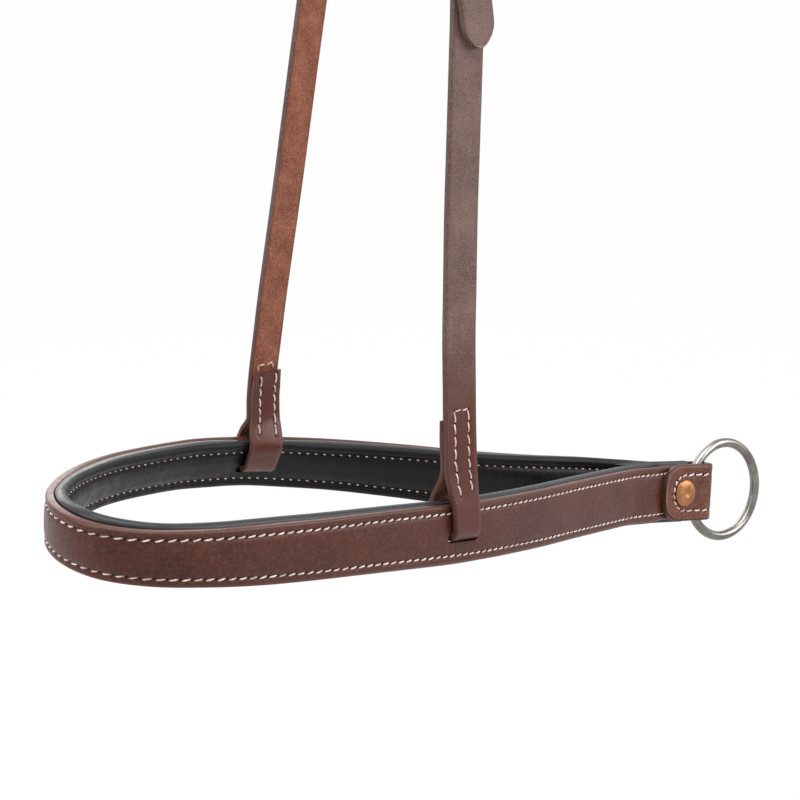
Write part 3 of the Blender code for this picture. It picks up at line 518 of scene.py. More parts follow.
def seam_marks(coords, rows, slant=0.0):
    """Nearness to the closest sewn row, and the count of holes along it, for surface points."""
    flat = coords.reshape(-1, 2)
    best = np.full(len(flat), 1e9)
    beat = np.zeros(len(flat))
    for row in rows:
        for k in range(len(row) - 1):
            a = row[k]
            d = row[k + 1] - a
            size = float(d @ d)
            low = np.minimum(a, row[k + 1]) - SEAM_REACH
            high = np.maximum(a, row[k + 1]) + SEAM_REACH
            close = np.where(((flat > low) & (flat < high)).all(axis=1))[0]
            if not len(close):
                continue
            t = np.clip((flat[close] - a) @ d / size, 0, 1)
            away = flat[close] - a - t[:, None] * d
            dist = np.linalg.norm(away, axis=1)
            side = np.sign(away @ np.array([-d[1], d[0]]))
            better = dist < best[close]
            pick = close[better]
            best[pick] = dist[better]
            beat[pick] = (k + t + slant * side * dist / math.sqrt(size))[better]
    near = np.maximum(0.0, SEAM_REACH - best)
    return near.reshape(coords.shape[:2]), np.where(near > 0, beat, 0.5).reshape(coords.shape[:2])


def hole_dents(seam, beat, pitch, channel, dent):
    """How far the thread pulls the leather in, in millimetres."""
    off = SEAM_REACH - seam
    step = (np.mod(beat + 0.5, 1.0) - 0.5) * pitch
    return channel * np.exp(-(off / 1.0) ** 2) + dent * np.exp(-(off / 0.9) ** 2 - (step / 0.9) ** 2)


def punch(ob, outline, origin, a, b, c, low, high):
    """Cuts a real hole with its outline in directions a and b, from low to high along c."""
    grid = np.array([[origin + a * x + b * y + c * d for x, y in outline] for d in (low, high)])
    tool = skin("punch", grid, list(ob.data.materials)[1:2] or list(ob.data.materials))
    mod = ob.modifiers.new("punch", "BOOLEAN")
    mod.operation = "DIFFERENCE"
    mod.solver = "EXACT"
    mod.object = tool
    cut = bpy.data.meshes.new_from_object(ob.evaluated_get(bpy.context.evaluated_depsgraph_get()))
    ob.modifiers.remove(mod)
    old = ob.data
    cut.name = old.name
    ob.data = cut
    bpy.data.meshes.remove(old)
    bpy.data.objects.remove(tool)
    cut.set_sharp_from_angle(angle=math.radians(38))


def even_holes(stitches, s):
    """Places along s where the count of stitches is whole; stitches says how many each short length holds."""
    count = np.concatenate([[0], np.cumsum(stitches)])
    return np.interp(np.linspace(0, count[-1], round(count[-1]) + 1), count, s)


def pairs(along, across):
    """Length along a piece and distance from its middle, side by side."""
    return np.stack(np.broadcast_arrays(along, across), axis=-1)


def swept(point, one, one_size, other, other_size):
    """Rows of points, each set off from its point of a line by two directions."""
    return point[:, None] + one[:, None] * one_size[..., None] + other[:, None] * other_size[..., None]


# rows of holes on the nose band; the lining's lie opposite the strap's, and the stitches shorten towards the ring
band_rows = []
lining_rows = []
for side in (-1, 1):
    s = np.linspace(SEWN_FROM, total - SEWN_FROM, 1500)
    point, tangent, out, up = band_frames(s)
    run = lengths(point + out * outer + up * (side * (band_half(s) - BAND_ROW_IN))[:, None])
    pitch = np.interp(s / total, PITCH_AT, BAND_PITCHES)
    s = even_holes(np.diff(run) / ((pitch[1:] + pitch[:-1]) / 2), s)
    band_rows.append(pairs(s, side * (band_half(s) - BAND_ROW_IN)))
    s = s[(s > LINING_START + 4) & (s < total - LINING_START - 4)]
    lining_rows.append(pairs(s, side * (band_half(s) - LINING_ROW_IN)))

# nose strap; each point of its profile: depth, share of the half width, distance past that, and 0 on the grain face
FACE_STEPS = 34
CORNER_OUT = 1.25
CORNER_IN = 0.7
BAND_SWELL = 0.45
corners = (arc(gap + CORNER_IN, -CORNER_IN, CORNER_IN, (180, 150, 120, 90))
           + arc(outer - CORNER_OUT, -CORNER_OUT, CORNER_OUT, (90, 75, 60, 45, 30, 15)))
profile = [(gap, share, -share * CORNER_IN, 1) for share in (-0.5, 0.0, 0.5)]
profile += [(n, 1.0, b, 1) for n, b in corners]
profile += [(outer, share, -share * CORNER_OUT, 0) for share in 1 - 2 * np.arange(FACE_STEPS + 1) / FACE_STEPS]
profile += [(n, -1.0, -b, 1) for n, b in corners[::-1]]
profile = np.array(profile)
on_face = profile[:, 3] == 0
stations = np.linspace(0, total, 1000)
half = band_half(stations)
across = half[:, None] * profile[:, 1] + profile[:, 2]
depth = np.repeat(profile[None, :, 0], len(stations), axis=0)
seam, beat = seam_marks(pairs(stations[:, None], across), band_rows, slant=0.35)
seam[:, profile[:, 0] < outer - 0.9] = 0.0
swell = BAND_SWELL * np.clip(1 - (np.abs(across) / (half - BAND_ROW_IN)[:, None]) ** 2, 0, 1) ** 0.8
depth[:, on_face] += (swell - hole_dents(seam, beat, BAND_PITCH, channel=0.28, dent=0.35))[:, on_face]
rim = np.maximum(0.0, SEAM_REACH - (half[:, None] - np.abs(across)))
point, tangent, out, up = band_frames(stations)
nose_strap = skin("nose_strap_leather", swept(point, out, depth, up, across), [BAND_GRAIN, BAND_EDGE],
                  (seam, beat, rim), profile[:, 3])

# padded lining: rolled edges above and below, a sewn channel beside each, and the pad between
CHANNEL_DEPTH = 3.5
# how far the upper roll laps over the band's top edge, along the band and round the roll
LAP_AT = (0.0, 0.4, 0.55, 0.62, 0.93, 1.0)
LAP_OVER = (0.2, 0.0, 0.5, 1.3, 1.3, 0.5)
LAP_SHARES = ((5, 1.1), (6, 1.0), (7, 0.8), (8, 0.5), (9, 0.2))


def lining_squeeze(s):
    """The lining is thinner at the slots and skived away towards its ends."""
    end = np.minimum(s - LINING_START, total - LINING_START - s)
    return (0.7 + 0.3 * away_from_slot(s)) * (LINING_SKIVE + (1 - LINING_SKIVE) * np.clip(end / LINING_TAPER, 0, 1))


def lining_outline(s):
    """Half outline of the lining from its back over the upper roll to its middle, then mirrored."""
    away = float(away_from_slot(s))
    r = ROLL_RADIUS
    c = float(band_half(s)) + ROLL_STAND - r
    row = float(band_half(s)) - LINING_ROW_IN
    deep = PAD_DEPTH * away + SLOT_PAD * (1 - away)
    roll = arc(-gap - r, c, r, range(0, 211, 15))
    valley = [(-gap - 1.95 * r, c - 0.5 * r), (-gap - 1.9 * r, row + 2.0), (-gap - 1.72 * r, row + 1.1),
              (-gap - CHANNEL_DEPTH, row), (-gap - (deep + CHANNEL_DEPTH) / 2, row - 1.6),
              (-gap - deep * 0.93, row - 3.4), (-gap - deep * 0.98, row * 0.42), (-gap - deep, 0.0)]
    upper = [(-gap, 0.0), (-gap, c * 0.5), (-gap, c - 1.0)] + roll + spline(roll[-1:] + valley, 5)[1:].tolist()
    made = np.array(upper + [(n, -b) for n, b in upper[-2:0:-1]])
    made[:, 0] = -gap + (made[:, 0] + gap) * lining_squeeze(s)
    cover = float(np.interp(s / total, LAP_AT, LAP_OVER)) * away
    for k, share in LAP_SHARES:
        made[k, 0] += cover * share
    return made


key_s = np.concatenate([np.linspace(LINING_START, LINING_START + 30, 16),
                        np.linspace(LINING_START + 34, total - LINING_START - 34, 130),
                        np.linspace(total - LINING_START - 30, total - LINING_START, 16)])
stations = np.linspace(LINING_START, total - LINING_START, 960)
outline = follow(stations, key_s, np.array([lining_outline(s).ravel() for s in key_s]))
outline = outline.reshape(len(stations), -1, 2)
depth = outline[..., 0]
across = outline[..., 1]
seam, beat = seam_marks(pairs(stations[:, None], across), lining_rows)
facing = depth < -gap - 1.6
seam = np.where(facing, seam, 0.0)
# each stitch draws the skin in and leaves small gathers fanning out to the roll and the pad
GATHER = 0.04
off = SEAM_REACH - seam
gather = GATHER * np.cos(2 * math.pi * beat) * np.exp(-((off - 1.2) / 1.8) ** 2)
wander = GATHER * np.sin(stations / 7.3 + 1.0) * np.sin(stations / 3.1)
loose = wander[:, None] * np.exp(-((off - 2.5) / 2.5) ** 2)
depth = depth + np.where(facing, hole_dents(seam, beat, BAND_PITCH, channel=0.0, dent=0.22) + gather + loose, 0.0)
# rim marks the crests of the rolls, where the lining is lightened as a painted highlight
beyond_row = np.abs(across) - (band_half(stations) - LINING_ROW_IN)[:, None]
over_crest = np.clip((depth + gap + 1.45 * ROLL_RADIUS) / (0.6 * ROLL_RADIUS), 0, 1)
rim = SEAM_REACH * np.clip((beyond_row - 1.0) / 2.5, 0, 1) * over_crest
point, tangent, out, up = band_frames(stations)
lining = skin("nose_lining_leather", swept(point, out, depth, up, across), [LINING], (seam, beat, rim),
              smooth=60.0)

# the stadium-shaped slots that the cheek straps pass through
SLOT_HALF_LONG = STRAP_WIDTH / 2 + 2.0
PUNCH_REACH = 12.0
for piece, play in ((nose_strap, SLOT_PLAY), (lining, LINING_SLOT_PLAY)):
    half_high = STRAP_THICK / 2 + play
    slot = [(x, y - SLOT_DROP) for x, y in stadium(half_high, SLOT_HALF_LONG - half_high, 12)]
    for s in (NEAR_AT, FAR_AT):
        point, tangent, out, up = band_frame(s)
        punch(piece, slot, point, tangent, unit(up - (up @ tangent) * tangent), out, PUNCH_REACH, -PUNCH_REACH)

# where the two skived linings meet, their rolls run on as one welt above and below, and end under the tab
WELT_FROM = 1.0
WELT_TO = 50.0
WELT_HIGH = 1.75
WELT_THICK = 1.35
WELT_RISE = 0.45
s = np.linspace(WELT_FROM, WELT_TO, 60)
point, tangent, out, up = band_frames(s)
far_point = band_frames(total - s)[0]
across_limbs = unit(far_point - point + np.array([0.0, 1e-4, 0.0]))
ends = np.sqrt(np.clip((s - WELT_FROM) / 1.2, 0.02, 1)) * np.clip((WELT_TO - s) / 22.0, 0.05, 1) ** 0.7
turn = circle(16)
welts = []
for name, way in (("upper_welt_leather", 1), ("lower_welt_leather", -1)):
    centre = (point + far_point) / 2 + up * (way * (band_half(s) + ROLL_STAND - WELT_HIGH + WELT_RISE))[:, None]
    grid = swept(centre, across_limbs, np.outer(ends, np.cos(turn)) * WELT_THICK,
                 up, np.outer(ends, np.sin(turn)) * way * WELT_HIGH)
    zeros = np.zeros(grid.shape[:2])
    # the welts are marked as rim all over, so the painted highlight of the roll crests covers them whole
    welts.append(skin(name, grid, [LINING], (zeros, zeros + 0.5, zeros + SEAM_REACH)))


# sewing: every stitch is a short length of thread that dives into its two holes
def stitch_tree():
    tree = bpy.data.node_groups.new("saddle_stitches", "GeometryNodeTree")
    face = tree.interface
    face.new_socket("Geometry", in_out="INPUT", socket_type="NodeSocketGeometry")
    for label, value in (("Thread thickness", 0.0009), ("Rise", 0.00045), ("Dive", 0.0005), ("Slant", 0.2),
                         ("Unevenness", 0.06)):
        face.new_socket(label, in_out="INPUT", socket_type="NodeSocketFloat").default_value = value
    face.new_socket("Seed", in_out="INPUT", socket_type="NodeSocketInt").default_value = 7
    face.new_socket("Thread", in_out="INPUT", socket_type="NodeSocketMaterial")
    face.new_socket("Geometry", in_out="OUTPUT", socket_type="NodeSocketGeometry")
    given = add(tree, "NodeGroupInput").outputs
    out, run, reach = [add(tree, "GeometryNodeInputNamedAttribute", {"Name": key}, data_type=kind) for key, kind in
                       (("out", "FLOAT_VECTOR"), ("run", "FLOAT_VECTOR"), ("reach", "FLOAT"))]
    low = add(tree, "Math", {0: given["Dive"], 1: -1.0}, **TIMES)
    high = add(tree, "Math", {0: given["Rise"], 1: 2.0}, **TIMES)
    half_thread = add(tree, "Math", {0: given["Thread thickness"], 1: 0.5}, **TIMES)
    start, middle, end = [add(tree, "CombineXYZ", {0: x, 2: z}) for x, z in ((-0.5, low), (0.0, high), (0.5, low))]
    # the bow is one unit long here and is stretched to the length of each stitch
    bow = add(tree, "GeometryNodeCurveQuadraticBezier", {"Resolution": 5, "Start": start, "Middle": middle,
                                                         "End": end})
    ring = add(tree, "GeometryNodeCurvePrimitiveCircle", {"Resolution": 6, "Radius": half_thread}, mode="RADIUS")
    one = add(tree, "GeometryNodeCurveToMesh", {"Curve": bow, "Profile Curve": ring, "Fill Caps": True})
    upright = add(tree, "FunctionNodeAlignRotationToVector", {"Vector": out}, axis="Z")
    lined = add(tree, "FunctionNodeAlignRotationToVector", {"Rotation": upright, "Vector": run}, axis="X",
                pivot_axis="Z")
    jitter = add(tree, "FunctionNodeRandomValue", {2: -1.0, 3: 1.0, "Seed": given["Seed"]}, data_type="FLOAT")
    swing = add(tree, "Math", {0: jitter, 1: given["Unevenness"]}, **TIMES)
    angle = add(tree, "Math", {0: given["Slant"], 1: swing})
    turn = add(tree, "CombineXYZ", {2: angle})
    turned = add(tree, "FunctionNodeRotateRotation", {"Rotation": lined, "Rotate By": turn},
                 rotation_space="LOCAL")
    size = add(tree, "CombineXYZ", {0: reach, 1: 1.0, 2: 1.0})
    put = add(tree, "GeometryNodeInstanceOnPoints", {"Points": given["Geometry"], "Instance": one,
                                                     "Rotation": turned, "Scale": size})
    real = add(tree, "GeometryNodeRealizeInstances", {"Geometry": put})
    smooth = add(tree, "GeometryNodeSetShadeSmooth", {"Geometry": real})
    dressed = add(tree, "GeometryNodeSetMaterial", {"Geometry": smooth, "Material": given["Thread"]})
    add(tree, "NodeGroupOutput", {0: dressed})
    return tree


STITCHES = stitch_tree()


def sew(name, holes, **sizes):
    """One mesh of stitches from rows of holes: each row is (points, outward directions, share of pitch sewn)."""
    spots, outs, runs, reaches = [], [], [], []
    for pts, out, share in holes:
        step = pts[1:] - pts[:-1]
        spots.append(place((pts[1:] + pts[:-1]) / 2))
        outs.append(unit(out[1:] + out[:-1]))
        runs.append(unit(step))
        reaches.append(np.linalg.norm(step, axis=1) * share / 1000.0)
    data = bpy.data.meshes.new(name)
    data.from_pydata(np.concatenate(spots).tolist(), [], [])
    for key, kind, field, values in (("out", "FLOAT_VECTOR", "vector", outs), ("run", "FLOAT_VECTOR", "vector", runs),
                                     ("reach", "FLOAT", "value", reaches)):
        layer = data.attributes.new(key, kind, "POINT")
        layer.data.foreach_set(field, np.concatenate(values).astype(np.float32).reshape(-1))
    ob = bpy.data.objects.new(name, data)
    scene.collection.objects.link(ob)
    mod = ob.modifiers.new("stitches", "NODES")
    mod.node_group = STITCHES
    sizes["Thread"] = THREAD
    for item in STITCHES.interface.items_tree:
        if item.in_out == "INPUT" and item.name in sizes:
            mod[item.identifier] = sizes[item.name]
    made = bpy.data.meshes.new_from_object(ob.evaluated_get(bpy.context.evaluated_depsgraph_get()))
    ob.modifiers.remove(mod)
    ob.data = made
    bpy.data.meshes.remove(data)
    return ob


def band_holes(rows, depth_at, share, face_side):
    holes = []
    for row in rows:
        point, tangent, out, up = band_frames(row[:, 0])
        pts = point + out * depth_at(row[:, 0])[:, None] + up * row[:, 1:2]
        holes.append((pts, out * face_side, share))
    return holes


nose_stitches = sew("nose_strap_stitches", band_holes(band_rows, lambda s: np.full(len(s), outer - 0.18), 0.74, 1.0),
                    **{"Slant": math.radians(14), "Rise": 0.00036, "Thread thickness": 0.00072, "Unevenness": 0.09})
lining_stitches = sew("nose_lining_stitches",
                      band_holes(lining_rows, lambda s: 0.1 - gap - CHANNEL_DEPTH * lining_squeeze(s), 0.46, -1.0),
                      **{"Slant": math.radians(-8), "Rise": 0.00035, "Thread thickness": 0.00075})


# headpiece straps
def hanging(z, side):
    """Middle of a strap at height z, between the band and the crown."""
    share = z / CROWN_HEIGHT
    # shares of the crown's height, and there: the way in, the way ahead and what is left of the slots' skew
    heights = (0, 0.085, 0.170, 0.277, 0.404, 0.457, 0.851, 1.021)
    draw = (0.0, 0.061, 0.143, 0.238, 0.333, 0.373, 0.543, 0.562)
    drift = (-0.017, -0.010, 0.097, 0.276, 0.497, 0.586, 1.0, 1.0)
    skew = (1.0, 1.0, 0.975, 0.937, 0.9, 0.875, 0.0, 0.0)
    x = CROWN_AHEAD * np.interp(share, heights, drift) - side * SLOT_SKEW * np.interp(share, heights, skew)
    y = side * (HALF_GAP + 1.5 - HALF_GAP * np.interp(share, heights, draw))
    return np.array([x, y, z])


def hanger_side(side):
    """The off side strap hangs a little turned about its own length."""
    a = math.radians(HANGER_TURN) if side > 0 else 0.0
    return np.array([math.cos(a), math.sin(a), 0.0])


def hanging_out(z, side):
    along_strap = unit(hanging(z + 4, side) - hanging(z - 4, side))
    return unit(np.cross(along_strap, hanger_side(side)) * side), along_strap


SIDEWAYS = np.array([1.0, 0.0, 0.0])
PER_SPAN = 16
half_t = STRAP_THICK / 2
BAR = BUCKLE_WIRE / 2
layer = half_t + TOUCH / 2
wrap = BAR + TOUCH + half_t
heel_outer, strap_up = hanging_out(BUCKLE_HEIGHT, -1)
heel = hanging(BUCKLE_HEIGHT, -1) - heel_outer * layer
across_strap = unit(SIDEWAYS - (SIDEWAYS @ strap_up) * strap_up)


def at_buckle(o, u, w=0.0):
    """Point that lies o outward, u up and w across from the heel bar."""
    return heel + heel_outer * o + strap_up * u + across_strap * w


def end_loop(s, side):
    """The strap's way round the upper half of the band and back up its inside."""
    point, tangent, out, up = band_frame(s)
    rise = unit(np.cross(out, SIDEWAYS))
    rise = rise * np.sign(rise[2])
    level = unit(np.cross(out, rise))
    level = level * np.sign(level @ tangent)
    if tangent[0] < 0:
        tangent = -tangent
        level = -level
    outer_o = outer + LOOP_PLAY + half_t
    inner_o = -(gap + ROLL_RADIUS * 1.6 + LOOP_PLAY + half_t)
    top = float(band_half(s)) + ROLL_STAND
    low = -SLOT_DROP
    round_band = [(outer_o - 0.35, top + 1.0), (outer_o, top - 4.0), (outer_o, low + 6.4), (outer_o - 0.5, low + 2.9),
                  (outer_o - 2.3, low + 0.5), (outer_o - 5.0, low), (inner_o + 5.0, low), (inner_o + 2.3, low + 0.5),
                  (inner_o + 0.5, low + 2.9), (inner_o, low + 6.4), (inner_o, top - 4.0), (inner_o + 0.5, top + 1.0)]
    down = (RETURN_END, RETURN_END * 0.74, RETURN_END * 0.53)
    path = [hanging(z, side) for z in down]
    hints = [hanger_side(side)] * 3
    for n, b in round_band:
        path.append(point + out * n + rise * b)
        share = min(1.0, max(0.0, (b + SLOT_DROP - 3.0) / 12.0))
        hints.append(unit(tangent * (1 - share) + level * share))
    for z, more in zip(down[::-1], (0.6, 0.0, 0.0)):
        path.append(hanging(z, side) - hanging_out(z, side)[0] * (layer * 2 + more))
        hints.append(hanger_side(side))
    return path, hints


# the cheek strap, from its end on the buckle's heel bar down to its end above the near side of the band
near_loop, near_hints = end_loop(NEAR_AT, -1)
chain = [at_buckle(o, u) for u, o in ((-34.0, -layer), (-16.0, -layer), (-8.0, -layer - 0.5), (-3.0, -wrap + 0.15),
                                      (0.0, -wrap))]
chain += [at_buckle(-wrap * math.cos(a), wrap * math.sin(a)) for a in np.radians((45, 90, 135))]
chain += [at_buckle(o, u) for u, o in ((0.0, wrap), (-3.0, wrap - 0.15), (-8.0, layer + 0.5), (-16.0, layer))]
chain += [hanging(BUCKLE_HEIGHT * share, -1) for share in (0.833, 0.689, 0.609, 0.513, 0.417, 0.321, 0.256, 0.192)]
cheek_line = spline(chain + near_loop, PER_SPAN)
cheek_sides = spread([SIDEWAYS] * len(chain) + near_hints, PER_SPAN)

# the crown strap, from the billet's tip up through the buckle, over the poll and down to the off side of the band
billet_lie = layer + STRAP_THICK + TOUCH
over_heel = wrap + STRAP_THICK + TOUCH + 0.1
under_top = -(BAR + TOUCH + half_t)
rise_top = BUCKLE_OPENING + 2 * BAR
leave = math.radians(26)
crown = [at_buckle(o, u) + SIDEWAYS * shift for u, o, shift in (
    (-BILLET_DROP, billet_lie + 1.2, 2.4), (-BILLET_DROP + 14.0, billet_lie + 0.5, 1.6),
    (-BILLET_DROP * 0.76, billet_lie, 0.2), (-BILLET_DROP * 0.53, billet_lie, 0.0),
    (-BILLET_DROP * 0.34, billet_lie, 0.0), (-18.0, billet_lie, 0.0), (-9.0, billet_lie + 0.7, 0.0),
    (-2.5, over_heel, 0.0), (0.5, over_heel, 0.0), (over_heel * math.sin(leave), over_heel * math.cos(leave), 0.0),
    (rise_top * 0.41, over_heel * 0.37, 0.0), (rise_top * 0.7, under_top * 0.35, 0.0),
    (rise_top - 2.6, under_top + 0.3, 0.0), (rise_top, under_top, 0.0), (rise_top + 7.0, under_top + 0.2, 0.0))]
centre_z = CROWN_HEIGHT - CROWN_CORNER
above_buckle = BUCKLE_HEIGHT + rise_top + 7.0
for share in (0.29, 0.55):
    crown.append(hanging(above_buckle + (centre_z - above_buckle) * share, -1) + np.array([0.0, 0.4, 0.0]))
crown += [np.array([CROWN_AHEAD, y, z]) for y, z in arc(-CROWN_HALF_FLAT, centre_z, CROWN_CORNER, (180, 150, 120, 90))
          + [(0.0, CROWN_HEIGHT)] + arc(CROWN_HALF_FLAT, centre_z, CROWN_CORNER, (90, 60, 30, 0))]
COMES_DOWN = (0.862, 0.723, 0.574, 0.457, 0.404, 0.340, 0.277, 0.213, 0.170, 0.128)
TURNED_BY = (0, 0.2, 0.6, 1, 1, 1, 1, 1, 1, 1)
crown_hints = [SIDEWAYS] * len(crown) + [unit(SIDEWAYS * (1 - k) + hanger_side(1) * k) for k in TURNED_BY]
crown += [hanging(CROWN_HEIGHT * share, 1) for share in COMES_DOWN]
far_loop, far_hints = end_loop(FAR_AT, 1)
crown_line = spline(crown + far_loop, PER_SPAN)
crown_sides = spread(crown_hints + far_hints, PER_SPAN)
flat = (np.abs(crown_line[:, 1]) < CROWN_HALF_FLAT + 0.01) & (crown_line[:, 2] > CROWN_HEIGHT - 8)
crown_line[flat, 2] = CROWN_HEIGHT
crown_line[flat, 0] = CROWN_AHEAD


def strap_frames(line, sides, m):
    run = lengths(line)
    tangent = heading(m, run, line)
    side = follow(m, run, sides)
    side = unit(side - np.einsum("ij,ij->i", side, tangent)[:, None] * tangent)
    return follow(m, run, line), side, np.cross(tangent, side)


def cut_section(w, t, top_r, low_r, steps, top_turns, low_turns):
    """Outline of cut leather; each point is on the grain face (0), on an edge (1) or on the flesh face (2)."""
    edge = arc(w - top_r, t - top_r, top_r, top_turns) + arc(w - low_r, -t + low_r, low_r, low_turns)
    out = [(x, t, 0) for x in np.linspace(top_r - w, w - top_r, steps[0] + 1)] + [(x, y, 1) for x, y in edge]
    out += [(x, -t, 2) for x in np.linspace(w - low_r, low_r - w, steps[1] + 1)]
    return np.array(out + [(-x, y, 1) for x, y in edge[::-1]])


# finer rows of points where there are stitches, loops or holes
FINE_STEP = 0.75
PLAIN_STEP = 2.2
LOOP_FINE = 95.0


def strap_piece(name, line, sides, grain, fine_to, turn, tip, rows):
    """Strap with glazed grain, dyed edges and raw flesh, skived at its ends or cut to a tip; grain is +1 or -1."""
    whole = lengths(line)[-1]
    marks = [0.0]
    while marks[-1] < whole:
        fine = marks[-1] <= fine_to or marks[-1] >= turn - LOOP_FINE
        marks.append(marks[-1] + (FINE_STEP if fine else PLAIN_STEP))
    marks = np.array(marks) * whole / marks[-1]
    pts = cut_section(STRAP_WIDTH / 2, half_t, 0.85, 0.45, (22, 8), (70, 50, 30, 10), (-15, -45, -75))
    wide = 1.0
    if tip:
        marks = np.sort(np.concatenate([marks[marks > tip], tip * (1 - np.cos(np.linspace(0, math.pi / 2, 16)))]))
        wide = (0.05 + 0.95 * np.sin(np.clip(marks / tip, 0, 1) * math.pi / 2) ** 0.65)[:, None]
    skived = np.clip((whole - marks if tip else np.minimum(marks, whole - marks)) / SKIVE, 0, 1)
    u = np.broadcast_to(pts[:, 0] * wide, (len(marks), len(pts)))
    v = pts[:, 1] * (0.45 + 0.55 * skived)[:, None]
    seam, beat = seam_marks(pairs(marks[:, None], u), rows)
    edge_gap = STRAP_WIDTH / 2 * wide - np.abs(u)
    if tip:
        edge_gap = np.minimum(edge_gap, marks[:, None] * 0.9)
    v = v - np.where(pts[:, 2] == 0, hole_dents(seam, beat, STRAP_PITCH, channel=0.14, dent=0.25), 0.0)
    v = v + np.where(pts[:, 2] == 2, hole_dents(seam, beat, STRAP_PITCH, channel=0.10, dent=0.15), 0.0)
    point, side, normal = strap_frames(line, sides, marks)
    return skin(name, swept(point, side, u, normal, v * grain), [HANGER_GRAIN, HANGER_EDGE, FLESH],
                (np.where(pts[:, 2] == 1, 0.0, seam), beat, np.maximum(0.0, SEAM_REACH - edge_gap)), pts[:, 2])


def where_height(line, z, piece_from, piece_to):
    """Length along a strap's line at which it passes height z, looked for between two lengths."""
    run = lengths(line)
    pick = np.where((run >= piece_from) & (run <= piece_to))[0]
    return float(run[pick[np.argmin(np.abs(line[pick, 2] - z))]])


def loop_rows(line, turn, z_top, z_low, row_out):
    """Holes of the box sewn above the band: on the strap itself, then the same holes on its return."""
    top, low, over = [where_height(line, z, turn - 90, turn) for z in (z_top, z_low, RETURN_END)]
    m = np.linspace(top, low, round((low - top) / STRAP_PITCH) + 1)
    cross = np.array([[top, -row_out], [top, 0.0], [top, row_out]])
    heights = follow(m, lengths(line), line)[:, 2]
    back = [where_height(line, z, turn, lengths(line)[-1]) for z in heights if z < RETURN_END - 1.0]
    rows, returns, tops = [[pairs(along, u) for u in (-row_out, row_out)] for along in (m, back, [top, over])]
    return rows, cross, returns, tops


NEAR_BOX = (51.3, 15.3, STRAP_ROW)
FAR_BOX = (50.0, 18.2, STRAP_ROW + 0.9)
CHAPE_ROW = STRAP_ROW + 0.8
BILLET_FINE = 175.0
CHAPE_FINE = 70.0
cheek_turn = float(lengths(cheek_line)[PER_SPAN * (len(chain) + 8)])
crown_turn = float(lengths(crown_line)[PER_SPAN * (len(crown) + 8)])
near_rows, near_cross, near_returns, near_tops = loop_rows(cheek_line, cheek_turn, *NEAR_BOX)
far_rows, far_cross, far_returns, far_tops = loop_rows(crown_line, crown_turn, *FAR_BOX)
first = float(lengths(cheek_line)[PER_SPAN * 11]) + 2.0
chape_rows = [pairs(np.linspace(first, first + STRAP_PITCH * 4, 5), u) for u in (-CHAPE_ROW, CHAPE_ROW)]
cheek_strap = strap_piece("cheek_strap_leather", cheek_line, cheek_sides, 1, CHAPE_FINE, cheek_turn, 0,
                          near_rows + near_returns + chape_rows)
crown_strap = strap_piece("crown_strap_leather", crown_line, crown_sides, -1, BILLET_FINE, crown_turn, BILLET_TIP,
                          far_rows + far_returns)
holes = []
for line, sides, rows, face, share in (
        (cheek_line, cheek_sides, near_rows + [near_cross] + chape_rows + near_returns, 1, 0.84),
        (cheek_line, cheek_sides, [near_cross] + near_tops, -1, 0.85),
        (crown_line, crown_sides, far_rows + [far_cross] + far_returns, -1, 0.84),
        (crown_line, crown_sides, [far_cross] + far_tops, 1, 0.85)):
    for row in rows:
        point, side, normal = strap_frames(line, sides, row[:, 0])
        holes.append((point + side * row[:, 1:2] + normal * face * (half_t + THREAD_SHIFT), normal * face, share))
strap_stitches = sew("headpiece_stitches", holes, **{"Slant": math.radians(7), "Rise": 0.0003,
                                                     "Thread thickness": 0.00072, "Unevenness": 0.12})

# punched holes are real holes, so they are cut from the finished straps
BILLET_HOLES_AT = (-88.0, -66.0, -30.0)
BILLET_HOLE = 1.9
for u in BILLET_HOLES_AT:
    punch(crown_strap, arc(0.0, 0.0, BILLET_HOLE, range(0, 360, 18)), at_buckle(0, u), across_strap, strap_up,
          heel_outer, billet_lie - 2.2, billet_lie + 4.0)
# the hole that the tongue is in, and the slot in the fold for the tongue's root
for piece, radius, half_long, u, low in ((crown_strap, 2.1, 4.1, 8.0, -1.0), (cheek_strap, 2.4, 6.6, 1.0, -9.0)):
    punch(piece, [(y, x) for x, y in stadium(radius, half_long, 8)], at_buckle(0, u), across_strap, strap_up,
          heel_outer, low, 9.0)

# keepers: room beside the strap, and the radii of their rims and corners
KEEPER_PLAY = 0.5
KEEPER_ROUND = 0.55
KEEPER_BEND = 0.7


def keeper(name, low, high, at):
    """A leather sleeve with rounded edges."""
    wall = KEEPER_WALL / 2
    tall = KEEPER_TALL / 2
    half_wide = STRAP_WIDTH / 2 + KEEPER_PLAY + wall
    section = rounded_box(-wall, wall, -tall, tall, KEEPER_ROUND, 3)
    grid = np.array([[at_buckle(o + no * n, at + t, w + nw * n) for n, t, _, _ in section]
                     for o, w, no, nw in rounded_box(low - wall, high + wall, -half_wide, half_wide,
                                                     KEEPER_BEND + wall, 8)])
    zeros = np.zeros(grid.shape[:2])
    rim = zeros + [max(0.0, SEAM_REACH - (tall - abs(t))) for n, t, _, _ in section]
    return skin(name, grid, [HANGER_GRAIN], (zeros, zeros, rim), ring_closed=True)


lie_out = billet_lie + half_t + KEEPER_PLAY
fixed_keeper = keeper("fixed_keeper_leather", -layer - half_t - 0.35, lie_out, KEEPER_AT)
sliding_keeper = keeper("sliding_keeper_leather", layer - half_t - 0.5, lie_out, SLIDE_AT)


def wire(name, centres, radius, material, steps):
    """Round wire bent to a closed shape that lies in one plane."""
    centres = np.asarray(centres)
    axis = unit(np.cross(centres[1] - centres[0], centres[len(centres) // 3] - centres[0]))
    side = np.cross(unit(np.roll(centres, -1, axis=0) - np.roll(centres, 1, axis=0)), axis)
    a = circle(steps)
    grid = swept(centres, side, radius * np.cos(a)[None], axis[None], radius * np.sin(a)[None])
    return skin(name, grid, [material], ring_closed=True)


